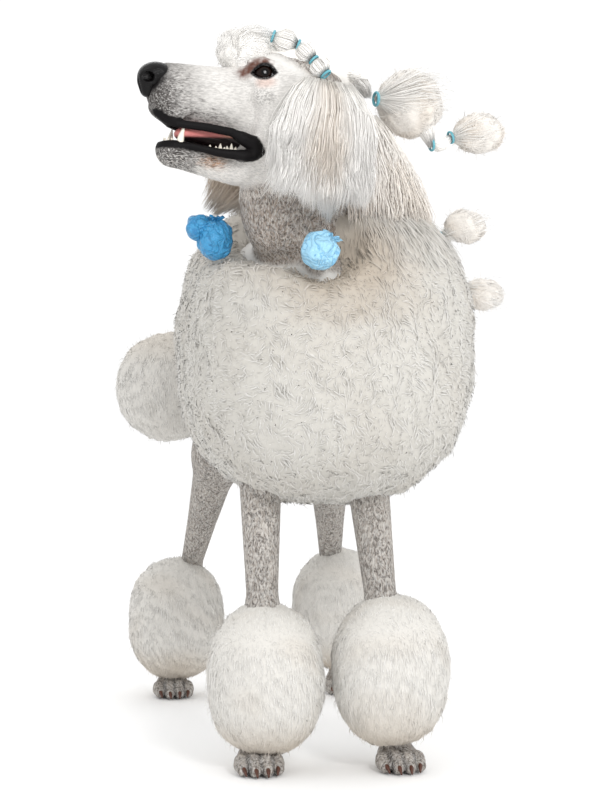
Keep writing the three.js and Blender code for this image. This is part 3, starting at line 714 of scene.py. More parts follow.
# %% The skin's material
def skin_material():
    """`fuzz` is how far the shaved skin's curly lines show, `grizzle` how many dark hairs it has."""
    nodes = Nodes("skin", roughness=0.6, specular_ior_level=0.12)
    tint = nodes.attribute("tint")
    fuzz = nodes.attribute("fuzz", "Fac")
    grizzle = nodes.attribute("grizzle", "Fac")
    curly = nodes.noise(85, 3, 0.6, 2.6, (1, 1, 1.8))
    lines = nodes.ramp(curly, (0.44, 0.0), (0.5, 1.0), (0.55, 0.0))
    nap = nodes.ramp(nodes.noise(430, 2, 0.6, 0.3, (1, 1, 2.2)), (0.4, 0.0), (0.66, 1.0))
    line_share = nodes.math("MULTIPLY", nodes.math("MULTIPLY", fuzz, lines), 0.9)
    nap_share = nodes.math("MULTIPLY", nodes.math("MULTIPLY", fuzz, nap), 0.4)
    napped = nodes.mix(nap_share, nodes.mix(line_share, tint, tuple(DARK)), tuple(WHITE))
    dark_noise = nodes.noise(640, 3, 0.6, 0.4, (4, 1, 1), MUZZLE_TURN)
    dark_hair = nodes.ramp(dark_noise, (0.4, 1.0), (0.58, 0.0))
    pale_noise = nodes.noise(780, 3, 0.6, 0.4, (4.5, 1, 1), MUZZLE_TURN + 0.2)
    pale_share = nodes.math("MULTIPLY", grizzle, nodes.ramp(pale_noise, (0.5, 0.0), (0.62, 1.0)))
    grizzled = nodes.mix(nodes.math("MULTIPLY", grizzle, dark_hair), napped, tuple(DARK * 0.5))
    nodes.to("Base Color", nodes.mix(nodes.math("MULTIPLY", pale_share, 0.55), grizzled, tuple(WHITE)))
    height = nodes.math("SUBTRACT", nodes.math("MULTIPLY", nap, 0.4), nodes.math("MULTIPLY", lines, 0.7))
    height = nodes.math("MULTIPLY", height, fuzz)
    height = nodes.math("ADD", height, nodes.math("MULTIPLY", pale_share, 0.5))
    nodes.to("Normal", nodes.bump(height, 0.6, 0.0012))
    return nodes.material


SKIN = skin_material()
print("the skin's material has", len(SKIN.node_tree.nodes), "nodes")

# %% [markdown]
# ## Skin
# One skin covers the head, jaws, throat, body, legs, paws and tail, as on the dog. Cells of 4 mm
# are enough for the body but not for the lids and lips, and fine cells all over would be slow. So
# only the face and the paws are divided, the lips and lids once more, and each time the points are
# pulled onto the form again. At the end the flattest faces are merged, to keep the mesh light.

# %% Where the skin is finer
CELL = 4.0
MOST_SKIN_TRIANGLES = 195000
LOW, HIGH = vec(-212, -396, -8), vec(212, 440, 836)


def near_face(points):
    h = in_head(points)
    return (np.abs(h[:, 0] - 42) < 96) & (np.abs(h[:, 1]) < 52) & (h[:, 2] > -134) & (h[:, 2] < 30)


def near_paws(points):
    return points[:, 2] < 46


def near_lips_and_eyes(points):
    h = in_head(points)
    h[:, 1] = np.abs(h[:, 1])
    lips = np.minimum(chain(h, sided(UPPER_LIP, 1), [0] * 6), chain(h, sided(LOWER_LIP, 1), [0] * 5))
    return (lips < 11) | (length(h - EYE) < 21)


# %% The skin's mesh
points, quads = net(grid_values(whole, LOW, HIGH, CELL), LOW, CELL)
skin = mesh_object("skin", points, quads, SKIN)
set_points(skin, pulled(whole, points_of(skin), 3, 2.5))
divided(skin, lambda p: near_face(p) | near_paws(p))
set_points(skin, pulled(whole, points_of(skin), 2))
divided(skin, near_face)
set_points(skin, pulled(whole, points_of(skin), 2))
divided(skin, near_lips_and_eyes)
set_points(skin, pulled(whole, points_of(skin), 3))
fur_roots, fur_normals = points_of(skin), normals_of(skin)
thinned(skin, MOST_SKIN_TRIANGLES)
print("skin:", len(fur_roots), "points, thinned to", len(skin.data.vertices))

# %% [markdown]
# ## The skin's colours
# White to grey on the face, darker towards the nose and lips, black lips and lid rims, rust where
# tears run at the inner corner of each eye, and grey on the shaved legs and throat, where the skin
# shows through. Each is a soft mask, measured in millimetres from a feature of the form, so that
# it stays in place when a size changes. The masks' edges are made ragged, as hair is.

# %% Masks and marks
def blended(base, mask, colour):
    return base + mask[:, None] * (colour - base)


WHISKER_ROWS = [(-38, 7), (-45, 8), (-52, 8), (-59, 6)]
TEAR_LINE = [(20, 24, -6), (16.6, 25.5, -4), (9, 28.5, 1.5), (1, 33, 5)]


def coat_cores(p):
    cores = [ball(p, place, radii * PUFF_CORE * 1.04) for place, radii in [*BRACELETS.values(), POMPON]]
    cores.append(ball(p, CHEST, MANE * MANE_CORE * 1.02, 2.5))
    return np.minimum.reduce(cores)


def folded(h):
    """The head's points with the right side laid over the left."""
    return np.stack([h[:, 0], np.abs(h[:, 1]), h[:, 2]], 1)


def lip_distances(h):
    """Distances to the upper lip, the lower lip and the corner of the mouth."""
    half = folded(h)
    left, right = (chain(half, sided(line, 1), [0] * 6) for line in (UPPER_LIP, RIGHT_LIP))
    lower = chain(half, sided(LOWER_LIP, 1), [0] * 5)
    return np.where(h[:, 1] > 0, left, right), lower, chain(half, sided(LIP_CORNER, 1), [0] * 5)


# %% Ground colours of the body and the face
def ground_colour(p, h):
    """The colour below the marks, with the masks of the face and of the coat's cores."""
    half = folded(h)
    colour = np.tile(LEG, (len(p), 1))
    throat = smooth(60, 0, neck(p)) * smooth(500, 560, p[:, 2])
    colour = blended(colour, throat, THROAT)
    on_face = smooth(6, -4, ball(h, (20, 0, -50), (150, 70, 76)))
    colour = blended(colour, on_face, FACE)
    scalp = smooth(8, 20, h[:, 2] - 0.35 * h[:, 0] + 0.12 * half[:, 1]) * smooth(34, 20, h[:, 0])
    ear_root = smooth(26, 12, length((half - (-66, 50, -30)) * (0.6, 1, 0.5)))
    under_coat = np.maximum.reduce([smooth(2, -2, coat_cores(p)), on_face * scalp, on_face * ear_root])
    colour = blended(colour, under_coat, WHITE * 0.85)
    return colour * (1 + 0.07 * sway(p, 46, 92)[:, :1]), on_face, under_coat


# %% Shades of the muzzle and the chin
def muzzle_colour(colour, h, ragged, lip_zone, on_face):
    """Grey towards the nose and the lips, a tan patch on the jaw and the whiskers' pores."""
    half = folded(h)
    muzzle = smooth(92, 26, length((h - (128, 0, -44)) * (1, 1, 0.9)) + 2 * ragged)
    chin = smooth(46, 16, length((h - (96, 0, -104)) * (0.8, 1, 1)) + 2 * ragged)
    near_lips = smooth(36, 7, lip_zone + ragged) * smooth(-10, 50, h[:, 0])
    below_eye = smooth(17, 6, length((half - (2, 40, -33)) * (0.7, 1, 1.2)))
    colour = blended(colour, 0.55 * muzzle, DARK * 1.6)
    colour = blended(colour, 0.4 * near_lips**2, DARK * 1.6)
    colour = blended(colour, 0.72 * chin, DARK)
    tan = smooth(17, 4, length((half - (45, 26, -106)) * (0.7, 0.6, 1.4)) + 1.5 * ragged)
    colour = blended(colour, 0.85 * tan, TAN)
    below_nose = smooth(33, 10, length((h - (114, 0, -50)) * (1, 0.6, 0.75)) + 1.5 * ragged)
    colour = blended(colour, 0.8 * below_nose, DARK)
    shares = [0.24 * on_face, 0.8 * muzzle, 0.85 * near_lips, 0.9 * chin, 0.5 * below_eye]
    for row, (level, count) in enumerate(WHISKER_ROWS):
        for i in range(count):
            forward = 104 - 7 * i - 4 * math.sin(5 * row + 3 * i)
            up = level - 0.8 * i + 1.6 * math.sin(7 * i + row)
            mark = length(((h - (forward, 0, up)) * (0.55, 1, 1))[:, [0, 2]])
            colour = blended(colour, 0.5 * smooth(1.7, 0.5, mark), BLACK)
    return colour, np.maximum.reduce(shares)


# %% Black lips and the flesh of the mouth
def lip_colour(colour, h, ragged, distances, on_face):
    upper, lower, corner = distances
    front = smooth(40, 90, h[:, 0])
    edge = smooth(-99.5, -96.5, h[:, 2] + 0.4 * ragged) * smooth(-80, -86, h[:, 2])
    rims = [
        smooth(8.4 - 0.4 * front, 6.4 - 0.4 * front, upper + 0.5 * ragged),
        smooth(8.5 - 4.6 * front, 6.3 - 3.9 * front, lower + 0.5 * ragged),
        smooth(9.5, 8, corner + 0.3 * ragged),
        edge * smooth(50, 66, h[:, 0]),
    ]
    above_chin = smooth(-107, -101, h[:, 2] - 0.06 * (h[:, 0] - 40))
    black = np.maximum.reduce(rims) * above_chin * on_face
    colour = blended(colour, black, BLACK)
    inside = smooth(2.4, 0.4, mouth(h)) * on_face
    gums = BLACK + (GUM - BLACK) * smooth(70, 50, h[:, 0])[:, None]
    colour = blended(colour, inside, gums)
    rear = smooth(26, 8, length((folded(h) - (20, 22, -86)) * (0.8, 1, 1.2)))
    return blended(colour, 0.75 * inside * rear, FLESH_PINK), black, inside


# %% Marks round the eyes, and painted shade between the toes
def toe_gap_shade(colour, p):
    for joints in (*FRONT.values(), *HIND.values()):
        q = p - vec(*joints[3])
        between = np.min([np.abs(q[:, 0] - x) for x in (-13.5, 0, 13.5)], axis=0)
        # Painted shade in the creases between the toes.
        gap_shade = smooth(3.2, 1.2, between) * smooth(-8, -16, q[:, 1]) * smooth(34, 24, q[:, 2])
        colour = blended(colour, 0.8 * gap_shade * (length(q[:, :2]) < 50), DARK * 0.7)
    return colour


def eye_colour(colour, grizzle, h, ragged):
    """Pink below the lids, rust where tears run, and black rims."""
    for side in (1, -1):
        below = smooth(11, 4, length((h - vec(-2, side * 37, -17)) * (0.6, 1, 1)))
        colour = blended(colour, 0.6 * below, LID_PINK)
        tear = smooth(13, 1.5, chain(h, sided(TEAR_LINE, side), [0] * 4) + 1.4 * ragged)
        colour = blended(colour, 0.96 * tear, RUST)
        grizzle = grizzle * (1 - 0.8 * tear)
        rim = smooth(3.6, 1.6, np.abs(lid_opening(h, side)))
        colour = blended(colour, rim * smooth(22, 16, length(h - EYE * (1, side, 1))), BLACK)
    return colour, grizzle


# %% All the skin's colours together
def skin_colours(p):
    h = in_head(p)
    ragged = 0.8 * sway(p, 7, 90)[:, 0] + 0.6 * sway(p, 3.5, 91)[:, 0]
    colour, on_face, under_coat = ground_colour(p, h)
    distances = lip_distances(h)
    colour, grizzle = muzzle_colour(colour, h, ragged, np.minimum(*distances[:2]), on_face)
    snout = smooth(26, 15, length((h - (116, 0, -24)) * (0.8, 1, 1)) + ragged)
    colour, black, inside = lip_colour(blended(colour, snout, BLACK), h, ragged, distances, on_face)
    grizzle = grizzle * (1 - np.maximum.reduce([black, inside, snout, under_coat]))
    colour, grizzle = eye_colour(toe_gap_shade(colour, p), grizzle, h, ragged)
    fuzz = (1 - on_face) * (1 - under_coat)
    return colour, np.clip(fuzz, 0, 1), np.clip(grizzle, 0, 1)


tints, fuzziness, grizzling = skin_colours(points_of(skin))
colour_on(skin, "tint", tints)
number_on(skin, "fuzz", fuzziness)
number_on(skin, "grizzle", grizzling)
LIMBS = ("foreleg", "hind_leg", "paw_front", "paw_hind")
FLESH = ["head", "lower_jaw", "neck", "torso_loin", "tail"]
FLESH += [f"{part}_{side}" for part in LIMBS for side in ("left", "right")]
finished(skin, "skin", *FLESH)
print("the skin stands in for", len(FLESH), "solids; mean colour", tints.mean(axis=0).round(3))

# %% [markdown]
# ## Nose
# The nose leather is black, moist and pebbled, with two round nostrils that run out into slits,
# and a groove down its front. It could be part of the skin, but its fine pebbles and its gloss ask
# for a mesh and a material of their own. The nostrils are carved with chains of limbs.

# %% The nose
def nose_form(h):
    top = ball(h, (110, 0, -19.5), (18.5, 16.8, 13))
    pad = join(8, top, ball(h, (121, 0, -28), (9.5, 11.5, 11)), ball(h, (119.5, 0, -40), (6, 6, 5.5)))
    for side in (1, -1):
        wing = ball(h, (118, side * 9.5, -25), (9, 6.5, 8))
        pad = join(4, pad, wing)
        hole = chain(h, sided([(133, 9.5, -26), (124, 12.5, -26), (115, 10, -25)], side), [5.4, 5.4, 3])
        slit_line = [(126, 13, -30), (117, 16.5, -33), (107, 18, -32), (100, 18, -25)]
        slit = chain(h, sided(slit_line, side), [2.6, 2.4, 2.2, 1.2])
        pad = carve(2, carve(1.6, pad, hole), slit)
    groove = limb(h, vec(134, 0, -20), vec(126, 0, -40), 0.9, 1.1)
    return carve(2, pad, groove)


def moulded(name, form, low, high, cell, material, turn=on_head, rounds=3):
    values = grid_values(form, low, high, cell)
    points, quads = net(values, np.asarray(low, float), cell)
    points = pulled(form, points, rounds, cell * 0.5, 0.1)
    return mesh_object(name, turn(points), quads, material)


nose_nodes = Nodes("nose", base_color=(*(BLACK * 0.55), 1), roughness=0.26, specular_ior_level=0.2)
pebbles = nose_nodes.add("ShaderNodeTexVoronoi", {"Vector": nose_nodes.place(), "Scale": 900.0})
nose_nodes.to("Normal", nose_nodes.bump(pebbles.outputs["Distance"], 0.5, 0.0006))
nose = moulded("nose", nose_form, (88, -22, -46), (136, 22, -4), 0.8, nose_nodes.material)
finished(nose, "nose", "nose")
print("nose:", len(nose.data.polygons), "faces")

# %% [markdown]
# ## Eyes
# A poodle's eye is almost black: a dark pupil, a dark brown iris and a wet, clear cornea, with a
# sliver of white at the rear. A texture could show the iris, but a ramp over the angle from the
# gaze says the same in a few colours. The cornea is raised and a little flattened, so that the key
# light shows in it as one small spot, as in a living eye.

# %% The eye's material
def eye_material():
    nodes = Nodes("eye", roughness=0.08, specular_ior_level=0.16)
    iris = nodes.ramp(
        nodes.attribute("off_gaze", "Fac"),
        (0.0, linear(3, 2, 2)),
        (0.2, linear(4, 3, 3)),
        (0.27, linear(22, 12, 8)),
        (0.5, linear(26, 14, 9)),
        (0.58, linear(9, 6, 5)),
        (0.72, linear(30, 20, 18)),
    )
    nodes.to("Base Color", nodes.mix(nodes.attribute("pale", "Fac"), iris, tuple(linear(214, 212, 214))))
    return nodes.material


EYE_MATERIAL = eye_material()


# %% A closed ball of triangles
def sphere_points(rings, sides):
    """A ball of quads whose pole is +x, with a triangle fan closed at each pole."""
    turn = np.arange(sides) * 2 * np.pi / sides
    tilt = np.pi * np.arange(1, rings) / rings
    ring = np.stack(
        [
            np.repeat(np.cos(tilt), sides),
            np.outer(np.sin(tilt), np.cos(turn)).ravel(),
            np.outer(np.sin(tilt), np.sin(turn)).ravel(),
        ],
        1,
    )
    points = np.vstack([ring, (1, 0, 0), (-1, 0, 0)])
    tris = []
    for i in range(rings - 2):
        for k in range(sides):
            a, b = i * sides + k, i * sides + (k + 1) % sides
            tris += [(a, a + sides, b), (b, a + sides, b + sides)]
    last = (rings - 2) * sides
    for k in range(sides):
        tris.append((len(ring), k, (k + 1) % sides))
        tris.append((len(ring) + 1, last + (k + 1) % sides, last + k))
    return points, np.array(tris)


# %% Both eyes
for side, name in ((1, "eye_left"), (-1, "eye_right")):
    points, tris = sphere_points(64, 96)
    gaze = unit(vec(0.3, side * 0.95, 0.03))
    off_gaze = np.arccos(np.clip(points[:, 0], -1, 1)) / np.pi * 2
    flatter = math.cos(0.45) / np.maximum(points[:, 0], math.cos(0.45)) - 1
    cornea = 1.03 + 0.6 * flatter - 0.03 * smooth(0.3, 0.5, off_gaze)
    across = unit(np.cross((0, 0, 1), gaze))
    axes = np.array([gaze, across, np.cross(gaze, across)])
    placed = EYE * (1, side, 1) + (points * cornea[:, None]) @ axes * (EYE_RADIUS - 0.2)
    eye = mesh_object(name, on_head(placed), tris, EYE_MATERIAL)
    number_on(eye, "off_gaze", off_gaze)
    ways = unit(placed - EYE * (1, side, 1))
    white = smooth(0.9, 0.95, ways @ unit(vec(-0.62, side * 0.72, -0.32))) * smooth(0.52, 0.6, off_gaze)
    number_on(eye, "pale", 0.8 * white)
    finished(eye, "eye", name)
print("each eye:", len(tris), "triangles,", 2 * EYE_RADIUS, "mm across")

# %% [markdown]
# ## Tongue and teeth
# The mouth is open, so the tongue and the lower teeth show. The tongue is a flattened chain with a
# groove, pink above and dark in the shade below. A tooth is a lathed spike: the canines are long
# and bent, the incisors small and in an arc, and a molar is three cusps side by side. Modelling
# each tooth by hand would add little at this size.

# %% The tongue
def tongue_form(h):
    flat = taller(h, -84, 0.6)
    line = [vec(4, 0, -88), vec(34, 0, -78), vec(60, 3, -76), vec(75, 6, -77)]
    body = chain(flat, line, [15.5, 15.5, 14.5, 12])
    groove = limb(h, vec(20, 0, -69), vec(74, 4, -70), 1.6, 1.2)
    return carve(4, body, groove)


tongue_nodes = Nodes("tongue", roughness=0.35, specular_ior_level=0.3)
spots = tongue_nodes.math("MULTIPLY", tongue_nodes.noise(160), 0.35)
tongue_nodes.to("Base Color", tongue_nodes.mix(spots, tongue_nodes.attribute("tint"), tuple(GUM)))
tongue_nodes.to("Normal", tongue_nodes.bump(tongue_nodes.noise(1500, 2), 0.3, 0.0004))
tongue = moulded("tongue", tongue_form, (-12, -24, -116), (92, 24, -66), 1.4, tongue_nodes.material)
h = in_head(points_of(tongue))
at_rear = smooth(44, 26, h[:, 0] + 2 * sway(h, 9, 93)[:, 0])
in_shade = smooth(-79.5, -82.5, h[:, 2] + 0.12 * (h[:, 0] - 60))
tongue_tint = blended(np.tile(linear(212, 128, 124), (len(h), 1)), at_rear, linear(200, 146, 128))
tongue_tint = blended(tongue_tint, in_shade, BLACK)
colour_on(tongue, "tint", tongue_tint)
finished(tongue, "tongue", "tongue")
print("tongue:", len(tongue.data.polygons), "faces")


# %% Tapering tubes
def lathed(line, radii, sides=10, flat=1.0):
    """A tapering tube along a line of points, as rings of quads split into triangles."""
    line = np.asarray(line, float)
    along = unit(np.gradient(line, axis=0))
    side = unit(np.cross(along, (0.13, 1, 0.21)))
    top = np.cross(side, along)
    turn = np.arange(sides) * 2 * np.pi / sides
    rings = [
        point + radius * (np.outer(np.cos(turn), s) + flat * np.outer(np.sin(turn), t))
        for point, radius, s, t in zip(line, radii, side, top)
    ]
    points = np.vstack([*rings, line[:1], line[-1:]])
    tris = []
    for i in range(len(line) - 1):
        for k in range(sides):
            a, b = i * sides + k, i * sides + (k + 1) % sides
            tris += [(a, b, a + sides), (b, b + sides, a + sides)]
    foot, tip = len(points) - 2, len(points) - 1
    last = (len(line) - 1) * sides
    for k in range(sides):
        tris.append((foot, (k + 1) % sides, k))
        tris.append((tip, last + k, last + (k + 1) % sides))
    return points, np.array(tris)


def gathered(parts):
    """Several sets of points and faces as one."""
    offsets = np.cumsum([0] + [len(points) for points, _ in parts[:-1]])
    faces = [faces + offset for (_, faces), offset in zip(parts, offsets)]
    return np.vstack([points for points, _ in parts]), np.vstack(faces)


# %% The teeth
def tooth(foot, tip, radius, bend=0.0):
    t = np.linspace(0, 1, 7)[:, None]
    line = vec(*foot) + t * (vec(*tip) - foot) + bend * (t * (1 - t)) * vec(1, 0, 0)
    return lathed(line, radius * (1 - 0.9 * t[:, 0] ** 1.6))


def molar(x, y, foot, top):
    cusps = ((-4, 3), (0, 0), (4, 3.5))
    spikes = [tooth((x + dx, y, foot), (x + dx * 1.3, y, top - drop), 3.4) for dx, drop in cusps]
    return gathered(spikes)


teeth = []
for side in (1, -1):
    teeth.append(tooth((83, side * 11.5, -97), (80.5, side * 16.5, -71.5), 4.8, 5))
    teeth += [molar(x, side * 21, -97, top) for x, top in ((52, -89), (40, -86), (27, -84))]
for y in (-8.5, -5.2, -1.8, 1.8, 5.2, 8.5):
    teeth.append(tooth((94 - 0.07 * y * y, y, -95), (96.5 - 0.07 * y * y, y, -84.5), 2.2))
points, tris = gathered(teeth)
ENAMEL, ENAMEL_ROOT = linear(244, 240, 230), linear(232, 222, 204)
tooth_nodes = Nodes("tooth", roughness=0.22, specular_ior_level=0.55)
enamel = tooth_nodes.mix(tooth_nodes.noise(120), tuple(ENAMEL), tuple(ENAMEL_ROOT))
tooth_nodes.to("Base Color", enamel)
finished(mesh_object("teeth", on_head(points), tris, tooth_nodes.material), "tooth")
print(len(teeth), "teeth and molars,", len(tris), "triangles")

# %% [markdown]
# ## Claws
# Each paw shows four short reddish-brown claws that bend down to the floor. Sixteen meshes could
# be made one by one, but they are alike. So one claw is modelled, a point with a turn and a size
# is kept for each toe, and Geometry Nodes sets a copy at every point. The same helper sets the
# elastics further on.

# %% Copies of one model at many places
def placed_copies(name, model, places, material):
    """Copies of a mesh at places = [(4x4 matrix)], realized by Geometry Nodes."""
    seeds = bpy.data.meshes.new(name + " places")
    seeds.from_pydata([matrix.to_translation() for matrix in places], [], [])
    turns = seeds.attributes.new("turn", "FLOAT_VECTOR", "POINT")
    sizes = seeds.attributes.new("size", "FLOAT_VECTOR", "POINT")
    for i, matrix in enumerate(places):
        turns.data[i].vector = matrix.to_euler()
        sizes.data[i].vector = matrix.to_scale()
    holder = bpy.data.objects.new(name, seeds)
    coll.objects.link(holder)
    tree = bpy.data.node_groups.new(name, "GeometryNodeTree")
    tree.interface.new_socket("Geometry", in_out="INPUT", socket_type="NodeSocketGeometry")
    tree.interface.new_socket("Geometry", in_out="OUTPUT", socket_type="NodeSocketGeometry")

    def node(kind, **settings):
        made = tree.nodes.new(kind)
        for key, value in settings.items():
            setattr(made, key, value)
        return made

    start, end = node("NodeGroupInput"), node("NodeGroupOutput")
    info = node("GeometryNodeObjectInfo")
    info.inputs["Object"].default_value = model
    copies = node("GeometryNodeInstanceOnPoints")
    turn = node("GeometryNodeInputNamedAttribute", data_type="FLOAT_VECTOR")
    turn.inputs["Name"].default_value = "turn"
    scale = node("GeometryNodeInputNamedAttribute", data_type="FLOAT_VECTOR")
    scale.inputs["Name"].default_value = "size"
    real = node("GeometryNodeRealizeInstances")
    painted = node("GeometryNodeSetMaterial")
    painted.inputs["Material"].default_value = material
    for source, target in (
        (start.outputs[0], copies.inputs["Points"]),
        (info.outputs["Geometry"], copies.inputs["Instance"]),
        (turn.outputs["Attribute"], copies.inputs["Rotation"]),
        (scale.outputs["Attribute"], copies.inputs["Scale"]),
        (copies.outputs["Instances"], real.inputs["Geometry"]),
        (real.outputs["Geometry"], painted.inputs["Geometry"]),
        (painted.outputs["Geometry"], end.inputs[0]),
    ):
        tree.links.new(source, target)
    modifier = holder.modifiers.new(name, "NODES")
    modifier.node_group = tree
    graph = bpy.context.evaluated_depsgraph_get()
    mesh = bpy.data.meshes.new_from_object(holder.evaluated_get(graph), depsgraph=graph)
    holder.modifiers.clear()
    holder.data = mesh
    bpy.data.node_groups.remove(tree)
    mesh.polygons.foreach_set("use_smooth", np.full(len(mesh.polygons), True))
    return holder


# %% A model to copy, and a place for a copy
def model_object(name, points, tris):
    """A small model in metres about its own origin, only used to make copies."""
    mesh = bpy.data.meshes.new(name)
    mesh.from_pydata((points * MM).tolist(), [], tris.tolist())
    obj = bpy.data.objects.new(name, mesh)
    coll.objects.link(obj)
    return obj


def at_place(point, turn=None, scale=1.0):
    where = Matrix.Translation(Vector((np.asarray(point) + SHIFT) * MM))
    return where @ (turn or Matrix.Identity(4)) @ Matrix.Scale(scale, 4)


# %% One claw on every toe
t = np.linspace(0, 1, 8)
claw_line = np.stack([0 * t, -11 * t, -1.5 * t - 5.5 * t**2], 1)
claw_model = model_object("claw model", *lathed(claw_line, 3.4 * (1 - 0.78 * t**1.3), 10, 1.15))
claw_places = []
for joints in (*FRONT.values(), *HIND.values()):
    for x, y, knuckle in TOES:
        spread = Matrix.Rotation(-0.012 * x, 4, "Z")
        claw_places.append(at_place(vec(*joints[3]) + (x, y - 13.5, 10), spread))
HORN, DARK_HORN = linear(96, 52, 34), linear(52, 30, 22)
claw_nodes = Nodes("claw", roughness=0.4, specular_ior_level=0.5)
horn = claw_nodes.mix(claw_nodes.noise(220), tuple(HORN), tuple(DARK_HORN))
claw_nodes.to("Base Color", horn)
claws = placed_copies("claws", claw_model, claw_places, claw_nodes.material)
finished(claws, "claw")
bpy.data.objects.remove(claw_model)
print(len(claw_places), "claws,", len(claws.data.polygons), "faces")

# %% [markdown]
# ## Elastics
# Small teal rubber rings hold the rows of hair over the eyes, the tuft behind the crown and two
# tufts down the nape. A torus primitive would do, but a ring worked out from two turns keeps the
# ring's thickness in step with its size. Each elastic has a middle, the way its hair runs and a
# radius, and is a copy of one ring.

# %% Where the elastics are
BRAID = [(-15, 18, 39), (-40, 30, 31), (-54, 42, 15), (-65, 51, 0)]
BRAID_BAND_RADIUS = 6.5
BANDS = {
    "band_crown": (vec(56, -247, 758), vec(1, 0.2, 0), 8),
    "band_tuft": (vec(127, -218, 712), vec(1, 0.2, 0.1), 7),
    "band_tuft_end": (vec(153, -204, 723), vec(1, 0.2, 0.3), 7),
    "band_nape_upper": (vec(142, -200, 609), vec(1, 0.1, 0.4), 6),
    "band_nape_lower": (vec(167, -200, 548), vec(1, 0.1, -0.2), 6),
}
for side, word in ((1, "left"), (-1, "right")):
    beads = on_head([(x, y * side, z) for x, y, z in BRAID])
    for i in range(4):
        along = beads[i] - beads[i - 1 if i else 1]
        BANDS[f"band_braid_{word}_{i + 1}"] = (beads[i], along, BRAID_BAND_RADIUS)

# %% One ring, and its copies
RING_SIDES, TUBE_SIDES = 40, 10
ring_turn = np.repeat(np.arange(RING_SIDES) * 2 * np.pi / RING_SIDES, TUBE_SIDES)
tube_turn = np.tile(np.arange(TUBE_SIDES) * 2 * np.pi / TUBE_SIDES, RING_SIDES)
wide = 1 + 0.2 * np.cos(tube_turn)
ring = np.stack([wide * np.cos(ring_turn), wide * np.sin(ring_turn), 0.24 * np.sin(tube_turn)], 1)
ring_faces = []
for i in range(RING_SIDES):
    here, there = TUBE_SIDES * i, TUBE_SIDES * ((i + 1) % RING_SIDES)
    for k in range(TUBE_SIDES):
        beside = (k + 1) % TUBE_SIDES
        ring_faces.append((here + k, there + k, there + beside, here + beside))
ring_faces = np.array(ring_faces)
band_model = model_object("band model", ring, ring_faces)
band_places = []
for place, along, radius in BANDS.values():
    turn = Vector(along).to_track_quat("Z", "Y").to_matrix().to_4x4()
    band_places.append(at_place(place, turn, radius * 0.92))
TEAL, PALE_TEAL = linear(70, 150, 170), linear(120, 186, 196)
band_nodes = Nodes("band", roughness=0.5)
rubber = band_nodes.mix(band_nodes.noise(300), tuple(TEAL), tuple(PALE_TEAL))
band_nodes.to("Base Color", rubber)
bands = placed_copies("bands", band_model, band_places, band_nodes.material)
finished(bands, "band", *BANDS)
bpy.data.objects.remove(band_model)
print(len(band_places), "elastics,", len(bands.data.polygons), "faces")

# %% [markdown]
# ## Wraps
# Groomers wrap the ears' tips in thin blue film to keep the hair clean. Bunched film is a ball
# with sharp folds that run out from its knot, and a frill past the knot. Cloth simulation could
# crumple a sheet, but would take long for two small balls. Here each ball is pushed out along
# ridges and along the faces of random planes, and finer folds come from the shader.

# %% Crumpled balls
def creased(points, centre, knot, seed, folds=11, depth=3.2):
    draw = np.random.default_rng(seed)
    axis = unit(knot - centre)
    offset = points - centre
    side = unit(np.cross(axis, (0.3, 0.2, 1)))
    turn = np.arctan2(offset @ np.cross(axis, side), offset @ side)
    height = (unit(offset) @ axis + 1) / 2
    ridge = np.abs(((turn / (2 * np.pi) * folds + 0.35 * np.sin(5 * height + 3 * turn)) % 1) - 0.5) * 2
    push = depth * ridge * height**1.4
    for _ in range(12):
        normal = unit(draw.normal(size=3))
        level = draw.uniform(-13, 13)
        push += 1.1 * np.minimum(np.abs(offset @ normal - level) / 7, 1)
    return points + unit(offset) * (push - push.mean())[:, None]


# %% The film's material
def wrap_nodes(name, pale, fold_shade):
    nodes = Nodes(name, roughness=0.28, specular_ior_level=0.4)
    folds = nodes.math("ABSOLUTE", nodes.math("SUBTRACT", nodes.noise(62, 2, 0.5, 1.4), 0.5))
    fine = nodes.math("ABSOLUTE", nodes.math("SUBTRACT", nodes.noise(170, 2, 0.5, 1.0), 0.5))
    # Darker in the creases of the folds: painted shade.
    nodes.to("Base Color", nodes.ramp(folds, (0.0, tuple(0.6 * fold_shade + 0.4 * pale)), (0.05, pale)))
    height = nodes.math("ADD", nodes.math("MULTIPLY", folds, 3.0), fine)
    nodes.to("Normal", nodes.bump(height, 0.8, 0.004))
    return nodes.material


# %% The frill past the knot
def frill(knot, axis, radius, seed):
    draw = np.random.default_rng(seed)
    side = unit(np.cross(axis, (0.3, 0.2, 1)))
    top = np.cross(axis, side)
    sides, rows = 72, 9
    turn = np.arange(sides) * 2 * np.pi / sides
    wave = 1 + 0.28 * np.sin(9 * turn + draw.uniform(0, 6)) + 0.15 * np.sin(14 * turn + draw.uniform(0, 6))
    rings = []
    for t in np.linspace(0, 1, rows):
        size = radius * (0.45 + 0.75 * t) * (1 + (wave - 1) * t)
        height = radius * (0.9 * t + 0.22 * t * np.sin(7 * turn))
        across = np.outer(size * np.cos(turn), side) + np.outer(size * np.sin(turn), top)
        rings.append(knot + across + np.outer(height, axis))
    outer = np.vstack(rings)
    inner = outer - unit(outer - knot) * 0.5
    inner[:sides] = outer[:sides] - 0.5 * axis
    points = np.vstack([outer, inner])
    faces = []
    count = rows * sides
    for i in range(rows - 1):
        for k in range(sides):
            a, b = i * sides + k, i * sides + (k + 1) % sides
            faces.append((a, b, b + sides, a + sides))
            faces.append((count + a + sides, count + b + sides, count + b, count + a))
    for k in range(sides):
        a, b = k, (k + 1) % sides
        faces.append((b, a, count + a, count + b))
        a, b = a + (rows - 1) * sides, b + (rows - 1) * sides
        faces.append((a, b, count + b, count + a))
    return points, np.array(faces)


